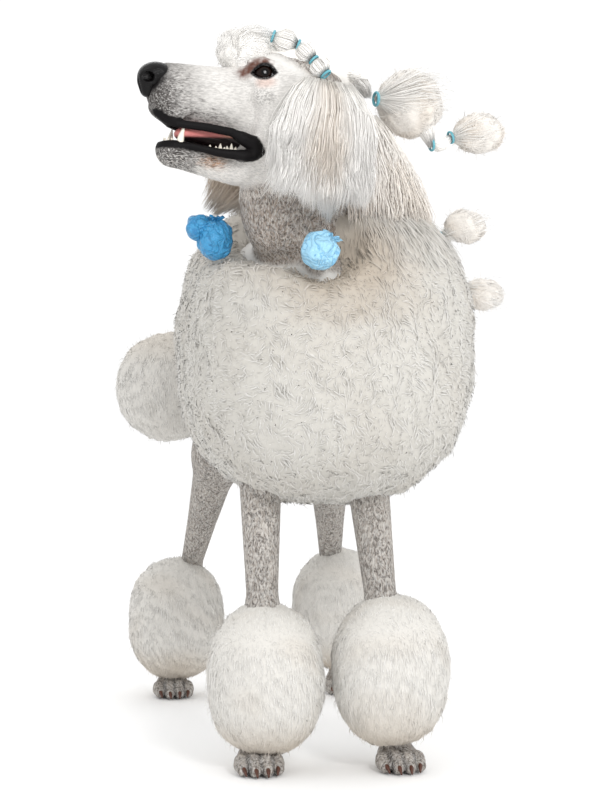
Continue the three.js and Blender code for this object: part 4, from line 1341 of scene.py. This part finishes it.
# %% Both wraps
WRAPS = {
    "ear_wrap_left": (
        [(vec(-27, -352, 577), vec(20, 19.5, 19.5))],
        vec(-14, -352, 592),
        (158, 208, 234),
        (66, 146, 196),
    ),
    # The same film as the left wrap; its darker blues are painted shade below the jaw.
    "ear_wrap_right": (
        [(vec(-126, -246, 597), vec(20.5, 20, 22)), (vec(-147, -250, 611), vec(13.5, 13, 14))],
        vec(-126, -246, 620),
        (66, 150, 200),
        (34, 104, 160),
    ),
}
for seed, (name, (lobes, knot, pale, fold_shade)) in enumerate(WRAPS.items()):
    material = wrap_nodes(name, linear(*pale), linear(*fold_shade))
    parts = []
    for i, (centre, radii) in enumerate(lobes):
        points, tris = sphere_points(48, 72)
        parts.append((creased(centre + points * radii, centre, knot, seed * 7 + i), tris))
    outward = knot - lobes[0][0]
    points, quads = frill(knot - 4 * unit(outward), unit(outward + vec(0, 0, 6)), 7.5, seed)
    parts.append((points, np.vstack([quads[:, [0, 1, 2]], quads[:, [0, 2, 3]]])))
    points, tris = gathered(parts)
    finished(mesh_object(name, points, tris, material), "wrap", name)
    print(name, len(tris), "triangles")

# %% [markdown]
# ## Tufts
# Hair seen from two metres is locks, not single hairs. Particle hair would draw each hair, but it
# has no faces and is lost in an export. So a tuft is a three-sided spike along a path, broader
# than it is thick, with its ridge turned outwards, and many paths at once make one mesh. Each point
# knows how far along its tuft it is, and each tuft has a number of its own for its shade. `OFBake`
# holds a small patch for each tuft, at its root's place on an unwrap of the form it grows on.

# %% Many tufts as one mesh
def tufts(name, paths, widths, outward, unwrap, stain_and_shade, seed, flat=0.5, material=None, soft=0.4):
    """paths is tufts x steps x 3, widths is tufts x (steps - 1): the last step is a point."""
    draw = np.random.default_rng(seed)
    count, steps, _ = paths.shape
    along = unit(np.gradient(paths, axis=1))
    side = unit(np.cross(along, (outward + 0.3 * draw.normal(size=outward.shape))[:, None]))
    top = np.cross(side, along)
    turn = np.pi / 2 + np.arange(3) * 2 * np.pi / 3
    cos, sin = np.cos(turn)[:, None], np.sin(turn)[:, None] * flat
    spread = cos * side[:, :-1, None] + sin * top[:, :-1, None]
    rings = paths[:, :-1, None] + widths[..., None, None] * spread
    points = np.concatenate([rings.reshape(count, -1, 3), paths[:, -1:]], axis=1)
    size = points.shape[1]
    tris = [(0, 1, 2)]
    for i in range(steps - 2):
        for k in range(3):
            a, b = 3 * i + k, 3 * i + (k + 1) % 3
            tris += [(a, a + 3, b), (b, a + 3, b + 3)]
    last = 3 * (steps - 2)
    tris += [(last + k, size - 1, last + (k + 1) % 3) for k in range(3)]
    tris = np.array(tris)
    faces = (tris[None] + size * np.arange(count)[:, None, None]).reshape(-1, 3)
    obj = mesh_object(name, points.reshape(-1, 3), faces, material or COAT)
    t = np.append(np.repeat(np.linspace(0, 1, steps)[:-1], 3), 1)
    if soft:
        leaning = np.concatenate([unit(spread).reshape(count, -1, 3), unit(top[:, -1:])], axis=1)
        soft_normals(obj, ((1 - soft) * leaning + soft * outward[:, None]).reshape(-1, 3))
    number_on(obj, "along", np.tile(t, count))
    number_on(obj, "own", np.repeat(draw.random(count) ** 1.5, size))
    number_on(obj, "stain_and_shade", np.repeat(stain_and_shade, size))
    patch = np.stack([np.append(np.tile([0, 0.5, 1.0], steps - 1), 0.5), t], 1) * 0.003 - 0.0015
    spots = 0.02 + 0.96 * unwrap[:, None, :] + patch[None]
    bake_map(obj, spots.reshape(-1, 2)[faces.ravel()])
    return obj


def bake_map(obj, corners):
    layer = obj.data.uv_layers.new(name="OFBake")
    layer.data.foreach_set("uv", corners.astype(np.float32).ravel())


# %% Locks, and where rays leave a puff
def drawn_together(tips, spacing, share, seed):
    """Tips lean towards the nearest of a few of them, as hair does in locks."""
    draw = np.random.default_rng(seed)
    span = tips.max(axis=0) - tips.min(axis=0)
    area = span[0] * span[1] + span[1] * span[2] + span[0] * span[2]
    count = min(max(4, int(2.2 * area / spacing**2)), len(tips))
    chosen = tips[draw.choice(len(tips), count, replace=False)]
    tree = KDTree(len(chosen))
    for i, point in enumerate(chosen):
        tree.insert(point, i)
    tree.balance()
    nearest = np.array([tree.find(tip)[1] for tip in tips])
    return tips + (chosen[nearest] - tips) * share


def unwrapped(rays):
    turn = np.arctan2(rays[:, 2], rays[:, 0]) / (2 * np.pi) + 0.5
    return np.stack([turn, np.arccos(np.clip(rays[:, 1], -1, 1)) / np.pi], 1)


def spread_rays(count, seed):
    draw = np.random.default_rng(seed)
    height = 1 - (2 * np.arange(count) + 1) / count
    turn = math.pi * (3 - math.sqrt(5)) * np.arange(count)
    around = np.sqrt(1 - height**2)
    rays = np.stack([around * np.cos(turn), height, around * np.sin(turn)], 1)
    return unit(rays + draw.normal(size=rays.shape) * 1.2 / math.sqrt(count))


def on_puff(rays, centre, radii, power):
    """Where rays from the middle of a puff leave it, and which way it faces there."""
    surface = rays * ((np.abs(rays) ** power).sum(axis=1) ** (-1 / power))[:, None] * radii
    normal = unit(np.abs(surface / radii) ** (power - 1) * np.sign(surface) / radii)
    spot = centre + surface
    relief = RELIEF * radii[0] * (sway(spot, 60, 77)[:, 0] + 0.6 * sway(spot, 25, 78)[:, 0])
    relief += 1.5 * sway(spot, 17, 79)[:, 0]
    return spot + normal * (relief - pressed(spot))[:, None], normal


RELIEF = 0.014
WRAP_MIDDLES = [vec(-27, -352, 578), vec(-126, -246, 600), vec(-144, -250, 612)]
THROAT_LINE = [vec(-100, -180, 640), vec(-112, -284, 622), vec(-60, -316, 612), vec(-22, -336, 592)]


def pressed(p):
    """The fur is pressed in under the wraps and is low in front of the throat."""
    wraps = [smooth(44, 16, length(p - middle)) * 15 for middle in WRAP_MIDDLES]
    throat = smooth(60, 18, chain(p, THROAT_LINE, [0] * 4)) * 48
    return np.maximum.reduce([*wraps, throat])


# %% Coat colours, and the shapes of a tuft's path
def coat_of(name, root, tip, stain_and_shade):
    return coat_material(name, *(tuple(linear(*colour)) for colour in (root, tip, stain_and_shade)))


COAT = coat_of("coat", (235, 232, 227), (246, 244, 241), (196, 166, 126))
# These two are greyer copies of the coat above, as painted shade; the hair is all one white.
MANE_COAT = coat_of("mane coat", (193, 190, 183), (213, 211, 207), (160, 142, 120))
PUFF_COAT = coat_of("puff coat", (206, 203, 197), (226, 224, 220), (178, 156, 126))
DENSITY = 1.0
RISE = {3: np.array([0, 0.72, 1.0]), 4: np.array([0, 0.5, 0.86, 1.0])}
BEND = {3: np.array([0, 0.3, 1.0]), 4: np.array([0, 0.12, 0.5, 1.0])}
TAPER = {3: np.array([1.0, 0.8]), 4: np.array([1.0, 1.0, 0.7])}
print("share of the tufts that are made:", DENSITY)


# %% A puff of tufts
def puff(
    name,
    place,
    count,
    depth,
    width,
    lie,
    power=2,
    keep=None,
    stain_and_shade=None,
    seed=1,
    steps=3,
    stray_height=7,
    headed=False,
    material=None,
):
    """Tufts that rise out of the undercoat and bend over the way that `lie` says."""
    centre, radii = place
    rays = spread_rays(int(count * DENSITY), seed)
    if keep is not None:
        rays = rays[keep(on_puff(rays, centre, radii, power)[0])]
    spot, normal = on_puff(rays, centre, radii, power)
    draw = np.random.default_rng(seed + 50)
    lean = lie(spot, normal, draw)
    lean -= normal * (lean * normal).sum(axis=1)[:, None]
    stray = draw.random(len(rays)) < 0.1
    height = depth * draw.uniform(0.85, 1.05, len(rays)) + stray * draw.uniform(1, stray_height, len(rays))
    root = spot - normal * (depth + 1.5) - 0.6 * lean
    rise, bend = RISE[steps][:, None], BEND[steps][:, None]
    paths = root[:, None] + rise * (normal * height[:, None])[:, None] + bend * lean[:, None]
    widths = width * TAPER[steps] * draw.uniform(0.6, 1.3, (len(rays), 1))
    widths[stray] *= 0.5
    tinge = np.zeros(len(rays)) if stain_and_shade is None else stain_and_shade(spot)
    if headed:
        paths, normal = on_head(paths), normal @ HEAD_AXES
    return tufts(name, paths, widths, normal, unwrapped(rays), tinge, seed, 0.5, material)


# %% The undercoat below a puff
def undercoat(name, centre, radii, depth, rings, power=2, stain_and_shade=None, seed=1, headed=False, material=None):
    """The thick of the fur under the tufts: a puff of its own with a soft relief."""
    rays, tris = sphere_points(rings, 2 * rings)
    spot, normal = on_puff(rays, centre, radii, power)
    spot = spot - normal * (depth + 0.8 * sway(spot, 11, seed + 1)[:, :1])
    obj = mesh_object(name, on_head(spot) if headed else spot, tris, material or COAT)
    soft_normals(obj, normal @ HEAD_AXES if headed else normal)
    # Close to the roots' colour: painted shade in the depths of the fur.
    number_on(obj, "along", np.full(len(spot), 0.12))
    number_on(obj, "own", np.zeros(len(spot)))
    number_on(obj, "stain_and_shade", np.zeros(len(spot)) if stain_and_shade is None else stain_and_shade(spot))
    corners = unwrapped(rays)[tris]
    far_round = (corners[..., 0].max(axis=1) - corners[..., 0].min(axis=1)) > 0.5
    corners[..., 0] += far_round[:, None] * (corners[..., 0] < 0.5)
    bake_map(obj, np.clip(0.02 + 0.96 * corners.reshape(-1, 2), 0, 1))
    finished(obj, "coat")


# %% [markdown]
# ## Mane, bracelets and pompon
# A continental clip leaves a great round mane on the chest and ribs, a bracelet on each leg and a
# pompon on the tail. The mane is curly, so its tufts bend this way and that after a smooth field.
# The bracelets and the pompon are brushed out, so theirs lie down from the leg. Displacing a ball
# would give the lumps but not the broken outline. An undercoat fills each puff and carries its
# tufts. The mane is made in pieces, from front to back, to keep each mesh light.

# %% How the mane's hair lies
NECK_MIDDLE = vec(30, -205, 0)


def cape(spot):
    """How far the mane's fur is the long combed hair below the neck's left side."""
    return smooth(548, 612, spot[:, 2]) * smooth(-12, 40, spot[:, 0])


def curly(spot, normal, draw):
    swirl = 6 * sway(spot, 26, 3) + 3.5 * sway(spot, 12, 4)
    combed = cape(spot)[:, None]
    away = unit((spot - NECK_MIDDLE) * (1, 1, 0)) + (0, 0, -1.4)
    return swirl * (1 - 0.65 * combed) + 19 * combed * away + 2.2 * draw.normal(size=spot.shape) - (0, 0, 4)


# %% How brushed hair lies, and where it is tinted beige
def brushed(centre):
    def lie(spot, normal, draw):
        down = (smooth(75, 25, spot[:, 2] - centre[2]) * 19 - 7)[:, None] * vec(0, 0, -1)
        return down + 2.2 * sway(spot, 30, 6) + 1.6 * draw.normal(size=spot.shape)

    return lie


def beige_below(centre):
    def stain_and_shade(spot):
        # Beige towards the bottom of the puff, and faintly and unevenly all over.
        low = smooth(centre[2] - 30, centre[2] - 85, spot[:, 2])
        return 0.4 * low + 0.1 * np.clip(sway(spot, 60, 5)[:, 0], 0, 1)

    return stain_and_shade


def top_stain(centre):
    return lambda spot: 0.22 * smooth(centre[2] + 20, centre[2] + 75, spot[:, 2])


def mane_part(low, high):
    return lambda p: (p[:, 1] >= low) & (p[:, 1] < high)


SHADED_HOLLOW = vec(10, -322, 552)


def mane_tint_and_shade(spot):
    # Beige by the throat and in the hollow by the near wrap: painted shade. A faint mottle and a little
    # beige over the combed cape are added too.
    throat_shade = smooth(105, 25, chain(spot, THROAT_LINE, [0] * 4))
    hollow = smooth(95, 15, length((spot - SHADED_HOLLOW) * (0.8, 0.6, 1)) + 8 * sway(spot, 30, 7)[:, 0])
    mottle = 0.07 * np.clip(sway(spot, 90, 8)[:, 0], 0, 1)
    return np.clip(mottle + 0.1 * cape(spot) + 0.28 * throat_shade + 0.42 * hollow, 0, 1)


# %% The mane
MANE_CUTS = [-400, -270, -150, -10, 200]
undercoat("undercoat_mane", CHEST, MANE, 4, 96, 2.5, mane_tint_and_shade, 21, material=MANE_COAT)
for i, (low, high) in enumerate(zip(MANE_CUTS, MANE_CUTS[1:])):
    part = puff(
        f"coat_mane_{i + 1}",
        (CHEST, MANE),
        24000,
        5,
        0.9,
        curly,
        power=2.5,
        keep=mane_part(low, high),
        stain_and_shade=mane_tint_and_shade,
        seed=11,
        steps=4,
        stray_height=6,
        material=MANE_COAT,
    )
    finished(part, "coat", *(["torso_mane"] if i == 0 else []))
    print(part.name, len(part.data.polygons), "triangles")

# %% Bracelets and pompon
BRUSHED = {"count": 6500, "depth": 4.2, "width": 0.72, "material": PUFF_COAT}
for seed, (name, (centre, radii)) in enumerate(BRACELETS.items()):
    stain_and_shade = beige_below(centre)
    undercoat(f"undercoat_{name}", centre, radii, 3, 40, 2.2, stain_and_shade, 24 + seed, material=PUFF_COAT)
    way = {"lie": brushed(centre), "power": 2.2, "stain_and_shade": stain_and_shade, "seed": 31 + seed}
    finished(puff(f"coat_{name}", (centre, radii), **BRUSHED, **way), "coat", name)
undercoat("undercoat_pompon", *POMPON, 3, 40, 2.1, top_stain(POMPON[0]), 29, material=PUFF_COAT)
way = {"lie": brushed(POMPON[0]), "power": 2.1, "stain_and_shade": top_stain(POMPON[0]), "seed": 41}
pompon = puff("coat_pompon", POMPON, **BRUSHED, **way)
finished(pompon, "coat", "tail_pompon")
print("pompon:", len(pompon.data.polygons), "triangles")


# %% [markdown]
# ## Long hair
# Hair that hangs or is tied runs in long bent locks. Each lock could be drawn as a curve, but there
# are thousands. So a patch of skin has two numbers that run over it, and a guide turns them into a
# root, a middle and a tip by smooth rules. Random pairs of numbers then give as many locks as are
# wanted, and their tips are drawn together a little, as real hair is.

# %% Long locks along a guide
def bent(root, middle, tip, steps=5):
    t = np.linspace(0, 1, steps)[None, :, None]
    return (1 - t) ** 2 * root[:, None] + 2 * t * (1 - t) * middle[:, None] + t**2 * tip[:, None]


def long_hair(name, count, guide, width, seed, lock=(9, 0.25), wave=3.0, steps=5, stain_and_shade=None):
    count = int(count * DENSITY)
    draw = np.random.default_rng(seed)
    a, b = draw.random(count), draw.random(count)
    root, middle, tip, outward = guide(a, b, draw)
    tip = drawn_together(tip, lock[0], lock[1], seed)
    paths = bent(root, middle, tip, steps)
    t = np.linspace(0, 1, steps)[None, :, None]
    stray = (draw.random(count) < 0.1)[:, None]
    paths = paths + t * wave * (sway(paths, 42, seed + 1) + 0.45 * sway(paths, 15, seed + 2))
    paths += t * wave * (0.35 + 1.2 * stray[:, None]) * draw.normal(size=(count, 1, 3))
    shape = np.interp(np.linspace(0, 1, steps)[:-1], [0, 0.3, 0.8, 1], [0.8, 1.0, 0.7, 0.35])
    widths = width * shape * draw.uniform(0.6, 1.25, (count, 1)) * (1 - 0.5 * stray)
    tinge = np.zeros(count) if stain_and_shade is None else stain_and_shade(paths[:, steps // 2])
    return tufts(name, paths, widths, outward, np.stack([a, b], 1), tinge, seed, soft=0)


def mixed(a, b, t):
    return a + (b - a) * t


def head_way(x, y, z):
    """Directions in the head's frame, turned as the head is."""
    return np.stack(np.broadcast_arrays(x, y, z), 1) @ HEAD_AXES


# %% [markdown]
# ## Ears
# The ears' hair hangs from low on the head in a wide fan, and its longest locks gather in the blue
# wraps. The left ear hides the cheek behind it. The right one shows only below the jaw, in shade,
# and its hair is tinted beige all over, partly its own colour and partly painted shade. One guide
# serves both sides, with a gathering point of its own for each.

# %% How the ears' hair hangs
def ear_guide(side):
    gather = vec(-66, 82, -168) if side > 0 else vec(14, -58, -156)
    front = 12 if side > 0 else 8
    gathered = 0.16 if side > 0 else 0.5

    def guide(a, b, draw):
        """a runs from the front to the back of the ear, b from its top down."""
        depth = draw.random(len(a)) ** 0.6
        pull = np.exp(-(((a - 0.5) / gathered) ** 2)) * smooth(0.45, 1.0, b)
        arch = np.sin(np.pi * a)
        root = np.stack([mixed(-38, -96, a), side * mixed(56, 66, b), mixed(-6, -64, b)], 1)
        middle_out = side * mixed(76, 99, depth) * (0.88 + 0.12 * arch)
        middle = np.stack([mixed(2, -116, a), middle_out, mixed(-30, -108, b)], 1)
        tip_down = mixed(-88, -142, b) - 8 * arch
        tip = np.stack([mixed(front, -112, a), side * mixed(68, 95, depth), tip_down], 1)
        tip = tip + (gather - tip) * (pull * 0.85)[:, None]
        outward = head_way(mixed(0.5, -0.4, a), np.full(len(a), float(side)), 0.1)
        return on_head(root), on_head(middle), on_head(tip), outward

    return guide


# %% The ears
def nape_tint_and_shade(paths):
    # Faintly and unevenly beige, and more beige low down, where the hair meets the mane: that lower part is
    # painted shade.
    return 0.1 + 0.1 * np.clip(sway(paths, 70, 9)[:, 0], 0, 1) + 0.2 * smooth(690, 600, paths[:, 2])


def far_ear_tint_and_shade(paths):
    # Half way to beige all over: partly the ear's own beige, partly painted shade below the jaw.
    return np.full(len(paths), 0.5)


def ear_stain(paths):
    h = in_head(paths)
    return 0.3 * smooth(36, 8, length((h - (-56, 85, -66)) * (1, 0.3, 0.8)))


undercoat("undercoat_ear_left", vec(-54, 70, -82), vec(46, 15, 50), 2, 44, 2, seed=41, headed=True)
undercoat("undercoat_ear_right", vec(-46, -68, -74), vec(40, 11, 46), 2, 30, 2, far_ear_tint_and_shade, 42, True)
ear_left = long_hair("coat_ear_left", 7200, ear_guide(1), 0.62, 61, (12, 0.25), 4.5, 5, ear_stain)
finished(ear_left, "coat", "ear_left")
ear_right = long_hair("coat_ear_right", 3200, ear_guide(-1), 0.9, 62, (12, 0.3), 3.2, 4, far_ear_tint_and_shade)
finished(ear_right, "coat", "ear_right")
print("ears:", len(ear_left.data.polygons) + len(ear_right.data.polygons), "triangles")

# %% [markdown]
# ## Forelock, crown and braids
# Over the brow the hair is combed into a round roll. Behind it, rows of small puffs held by
# elastics run back over each eye, and the crown's hair is combed to the elastic behind it. The
# roll is a puff with a few long locks over it, the crown hangs on its guide, and each braid bulges
# between two elastics.

# %% The forelock
def forelock_guide(a, b, draw):
    """a runs across the brow, b from the inside of the roll to its outside."""
    across = mixed(-1, 1, a)
    b = b**0.6
    root = np.stack([mixed(8, 27, b), mixed(14, 24, b) * across, mixed(22, 9, b)], 1)
    rounding = 1 - 0.3 * across**2
    middle_up = mixed(28, 57, b) * rounding
    middle = np.stack([mixed(20, 60, b) * rounding, mixed(20, 40, b) * across, middle_up], 1)
    tip_back = mixed(-24, -10, draw.random(len(a)))
    tip = np.stack([tip_back, 12 * across + 7 * np.sign(across), mixed(30, 43, b)], 1)
    return on_head(root), on_head(middle), on_head(tip), head_way(0.7, 0.4 * across, 0.8)


def combed_back(spot, normal, draw):
    return vec(-9, 0, 3) + 3 * sway(spot, 22, 9) + 2 * draw.normal(size=spot.shape)


FORELOCK = (vec(10, 0, 19), vec(32, 30, 28))
undercoat("undercoat_forelock", *FORELOCK, 3, 40, seed=44, headed=True)
finished(puff("coat_forelock_puff", FORELOCK, 3600, 4, 0.55, combed_back, seed=45, headed=True), "coat")
finished(long_hair("coat_forelock", 260, forelock_guide, 0.4, 63, (9, 0.1), 4.0, 6), "coat", "forelock")


# %% The crown
def topknot_guide(a, b, draw):
    """a runs across the crown, b from the forehead to the back of the skull."""
    across = mixed(-1, 1, a)
    depth = draw.random(len(a)) ** 0.5
    arch = 1 - 0.45 * across**2
    root_up = mixed(29, 4, b) * (1 - 0.3 * across**2)
    root = np.stack([mixed(-20, -110, b), mixed(24, 34, b) * across, root_up], 1)
    middle_up = mixed(60, 32, b) * arch * mixed(0.75, 1, depth)
    middle = np.stack([mixed(-66, -132, b), mixed(46, 40, b) * across, middle_up], 1)
    tip = np.stack([-146 + 4 * draw.random(len(a)), 6 + 8 * across, -6 + 7 * (depth - 0.5)], 1)
    return on_head(root), on_head(middle), on_head(tip), head_way(-0.2, 0.9 * across, 1.0)


undercoat("undercoat_crown", vec(-66, 0, 13), vec(62, 44, 30), 2, 40, seed=46, headed=True)
finished(long_hair("coat_topknot", 2400, topknot_guide, 0.85, 64, (9, 0.1), 2.6, 5), "coat", "topknot")


# %% The rows of tied hair over the eyes
def braid_guide(side):
    beads = np.array([(x, y * side, z) for x, y, z in BRAID], float)

    def guide(a, b, draw):
        """a runs round the braid, b along it: each puff bulges between two elastics."""
        which = np.minimum((b * 3).astype(int), 2)
        start, end = beads[which], beads[which + 1]
        along = unit(end - start)
        side_way = unit(np.cross(along, (0.2, 0.1, 1)))
        top = np.cross(side_way, along)
        out = np.cos(2 * np.pi * a)[:, None] * side_way + np.sin(2 * np.pi * a)[:, None] * top
        bulge = draw.uniform(14, 26, len(a))[:, None]
        root = start + out * 3
        middle = (start + end) / 2 + out * bulge
        return on_head(root), on_head(middle), on_head(end + out * 3), out @ HEAD_AXES

    return guide


for side, word in ((1, "left"), (-1, "right")):
    braid = long_hair(f"coat_braid_{word}", 1200, braid_guide(side), 0.75, 65 + side, (6, 0.05), 0.5, 4)
    finished(braid, "coat", f"braid_{word}")
print("each braid:", len(braid.data.polygons), "triangles")

# %% [markdown]
# ## Nape and tied tufts
# Down the back of the neck the hair falls over the mane. Past each elastic behind the crown and
# down the nape it bursts out into a loose brush. A tuft is a small puff whose hair is combed from
# its elastic to its tip, with wisps that run past it, and strands that pass from one elastic to
# the next.

# %% The nape
def nape_guide(a, b, draw):
    """a runs round the back of the neck, from behind the left ear to its right, b down it."""
    depth = draw.random(len(a)) ** 0.7
    turn = mixed(math.radians(-106), math.radians(120), a)
    way = np.stack([np.cos(turn), np.sin(turn), 0 * turn], 1)
    middle_line = np.stack([mixed(34, 36, b), mixed(-226, -196, b), mixed(742, 560, b)], 1)
    girth = np.interp(b, [0, 0.25, 0.7, 1], [34, 62, 72, 80])[:, None]
    root = middle_line + way * girth * 0.8
    hang = mixed(70, 120, draw.random(len(a)) * smooth(0, 0.6, b))
    out = (np.interp(b, [0, 0.3, 0.8, 1], [26, 38, 34, 40]) * mixed(0.6, 1, depth))[:, None]
    middle = root + way * out * 1.15 + np.stack([0 * a, 0 * a, -0.35 * hang], 1)
    tip = root + way * out * 1.1 + np.stack([0 * a, 0 * a, -hang], 1)
    return root, middle, tip, way


undercoat("undercoat_neck", vec(46, -198, 622), vec(62, 60, 92), 2, 40, 2, nape_tint_and_shade, 43)
nape = long_hair("coat_neck", 5600, nape_guide, 0.75, 71, (12, 0.25), 5.0, 5, nape_tint_and_shade)
finished(nape, "coat", "neck_coat")


# %% Guides for tied hair
def burst_guide(start, end, girth, spread_at=0.5):
    """Hair past an elastic: it leaves one point, swells out and ends in a loose brush."""
    start, end = np.asarray(start, float), np.asarray(end, float)
    along = unit(end - start)
    side_way = unit(np.cross(along, (0.1, 0.2, 1)))
    top = np.cross(side_way, along)

    def guide(a, b, draw):
        out = np.cos(2 * np.pi * a)[:, None] * side_way + np.sin(2 * np.pi * a)[:, None] * top
        wide = (girth * b**0.4)[:, None]
        short = draw.uniform(0.7, 1.08, len(a))[:, None]
        root = start + out * 3
        middle = start + (end - start) * spread_at + out * wide * 1.5
        tip = start + (end - start) * short + out * wide * 0.95
        return root, middle, tip, out

    return guide


def strand_guide(points, girths):
    """A bundle that passes from one elastic to the next, through a third point between them."""
    start, middle_point, end = (np.asarray(point, float) for point in points)
    along = unit(end - start)
    side_way = unit(np.cross(along, (0.1, 0.2, 1)))
    top = np.cross(side_way, along)

    def guide(a, b, draw):
        out = np.cos(2 * np.pi * a)[:, None] * side_way + np.sin(2 * np.pi * a)[:, None] * top
        out = out * np.sqrt(b)[:, None]
        return start + out * girths[0], middle_point + out * girths[1], end + out * girths[2], out

    return guide


def combed_out(way):
    """Tied hair is combed from its elastic to its tip, and curls on the way."""

    def lie(spot, normal, draw):
        return 7 * unit(way) + 5 * sway(spot, 20, 12) + 2.5 * draw.normal(size=spot.shape)

    return lie


# %% The tied tufts
def tied_stain(spot):
    return 0.12 + 0.14 * np.clip(sway(spot, 40, 12)[:, 0], 0, 1)


TIED = {
    "crown_tuft": ((101, -218, 758), (40, 33, 41), (56, -247, 758), (145, -204, 774), 4200),
    "crown_tuft_end": ((189, -194, 730), (33, 22, 26), (152, -204, 722), (218, -186, 737), 1600),
    "nape_tuft_upper": ((172, -197, 621), (27, 20, 22), (141, -200, 608), (204, -191, 632), 1300),
    "nape_tuft_lower": ((193, -195, 542), (27, 19, 21), (166, -200, 548), (222, -191, 538), 1300),
}
for i, (name, (middle, radii, start, end, count)) in enumerate(TIED.items()):
    place = (vec(*middle), vec(*radii))
    lie = combed_out(vec(*end) - start)
    undercoat(f"undercoat_{name}", *place, 3.5, 32, 2, tied_stain, 47 + i)
    tuft = puff(f"coat_{name}", place, count, 5, 0.6, lie, stain_and_shade=tied_stain, seed=51 + i, stray_height=11)
    finished(tuft, "coat", name)
    wisps = burst_guide(start, end, 0.75 * radii[2])
    finished(long_hair(f"coat_{name}_wisps", count // 8, wisps, 0.4, 75 + i, (7, 0.3), 5.0, 5), "coat")
drop = strand_guide([(88, -222, 762), (124, -220, 734), (127, -218, 710)], [16, 16, 3.5])
finished(long_hair("coat_crown_drop", 600, drop, 1.0, 73, (6, 0.05), 1.0, 4), "coat")
link = strand_guide([(126, -218, 714), (136, -214, 706), (155, -203, 724)], [3.5, 12, 3.5])
finished(long_hair("coat_crown_link", 400, link, 1.0, 74, (6, 0.05), 0.6, 4), "coat")
print(len(TIED), "tied tufts")

# %% [markdown]
# ## Short fur
# Shaved skin isn't bare: it has short hairs that lie down it, and they show along the outline of
# the legs, the throat, the back and the jaw. Bump in the skin can't break an outline, so these are
# small tufts too, rooted at random points of the skin's mesh before it was thinned.

# %% Short tufts on the skin
def short_fur(name, count, wanted, middle, high, reach, width, seed, along_head=False):
    """Tufts rooted where `wanted` says. `high` is the range of heights that the unwrap spans."""
    draw = np.random.default_rng(seed)
    chosen = np.flatnonzero(wanted(fur_roots))
    chosen = draw.choice(chosen, min(int(count * DENSITY), len(chosen)), replace=False)
    spot, normal = fur_roots[chosen], fur_normals[chosen]
    down = (-FORWARD if along_head else vec(0, 0, -1)) + 0.25 * draw.normal(size=spot.shape)
    down = unit(down - normal * (down * normal).sum(axis=1)[:, None])
    down = down * draw.uniform(0.7, 1.3, (len(spot), 1)) * reach
    lift = normal * (0.2 * reach)
    paths = np.stack([spot - 0.5 * normal, spot + 0.5 * down + 0.75 * lift, spot + down + lift], 1)
    widths = width * np.array([1.0, 0.8]) * draw.uniform(0.7, 1.2, (len(spot), 1))
    turn = np.arctan2(spot[:, 1] - middle[1], spot[:, 0] - middle[0]) / (2 * np.pi) + 0.5
    unwrap = np.stack([turn, (spot[:, 2] - high[0]) / (high[1] - high[0])], 1)
    tinge = np.full(len(spot), 0.15)
    fur = tufts(name, paths, widths, normal, np.clip(unwrap, 0, 1), tinge, seed)
    print(name, len(spot), "tufts")
    finished(fur, "coat")


# %% Where the short fur grows
def bare_leg(joints):
    """The shaved length of one leg: on its side, by its end of the body, near its middle joint."""
    knee = vec(*joints[1])

    def wanted(p):
        same_side = (p[:, 0] * knee[0] > 0) & ((p[:, 1] < 0) == (knee[1] < 0))
        return same_side & (length((p - knee)[:, :2]) < 150) & (p[:, 2] > 200) & (p[:, 2] < 400)

    return wanted


def bare_throat(p):
    return (neck(p) < 3) & (p[:, 2] > 560)


for seed, joints in enumerate((*FRONT.values(), *HIND.values())):
    short_fur(f"coat_leg_{seed + 1}", 800, bare_leg(joints), joints[1], (190, 410), 4, 0.2, 81 + seed)
short_fur("coat_throat", 1200, bare_throat, (-20, -260), (550, 760), 5, 0.22, 86)
short_fur("coat_back", 1500, lambda p: (p[:, 1] > 60) & (p[:, 2] > 400), (0, 170), (390, 620), 5, 0.25, 87)
short_fur(
    "coat_jaw",
    1000,
    lambda p: near_face(p) & (in_head(p)[:, 2] < -104),
    on_head((40, 0, -90)),
    (600, 800),
    4,
    0.16,
    88,
    True,
)

# %% [markdown]
# ## Studio
# The photograph has a white ground and soft light from all round, with hardly a shadow. Many large
# lamps could give this. A bright world alone is simpler, with a small key light that gives the eyes
# and the nose their gloss, and a faint light from behind. The camera stands where the photograph's
# did, worked out from the paws: at the height of the dog's chest, a little to its right.

# %% World and floor
scene = bpy.context.scene
scene.view_settings.view_transform = "Standard"
world = bpy.data.worlds.new("studio")
scene.world = world
world.use_nodes = True
world.node_tree.nodes["Background"].inputs["Color"].default_value = (1, 1, 1, 1)
world.node_tree.nodes["Background"].inputs["Strength"].default_value = 1.08

bpy.ops.mesh.primitive_plane_add(size=60, location=(0, 0, 0))
floor = bpy.context.object
floor.name = "floor"
floor_nodes = Nodes("floor", base_color=(0.96, 0.96, 0.96, 1), roughness=0.9)
floor.data.materials.append(floor_nodes.material)


# %% Lights
def area_light(name, place, target, size, power):
    light = bpy.data.lights.new(name, "AREA")
    light.shape = "RECTANGLE"
    light.size, light.size_y = size
    light.energy = power
    obj = bpy.data.objects.new(name, light)
    obj.location = place
    obj.rotation_euler = (Vector(target) - Vector(place)).to_track_quat("-Z", "Y").to_euler()
    coll.objects.link(obj)


area_light("key", (0.36, -2.58, 1.44), (0, -0.2, 0.6), (0.5, 0.5), 24)
area_light("back", (-0.4, 2.2, 2.2), (0, 0, 0.5), (1.6, 1.2), 10)

# %% Camera
CAMERA_PLACE = vec(-362, -2227, 430)
VIEW_WAY = vec(0.165, 0.986, 0)
FRAME_HEIGHT, EYE_LEVEL = 800, 391
camera_data = bpy.data.cameras.new("camera")
camera_data.lens = 81
camera_data.sensor_width = 36
camera_data.shift_y = (EYE_LEVEL - FRAME_HEIGHT / 2) / FRAME_HEIGHT
camera = bpy.data.objects.new("camera", camera_data)
camera.location = (CAMERA_PLACE + SHIFT) * MM
camera.rotation_euler = Vector(VIEW_WAY).to_track_quat("-Z", "Y").to_euler()
coll.objects.link(camera)
scene.camera = camera
print("camera at", camera.location)
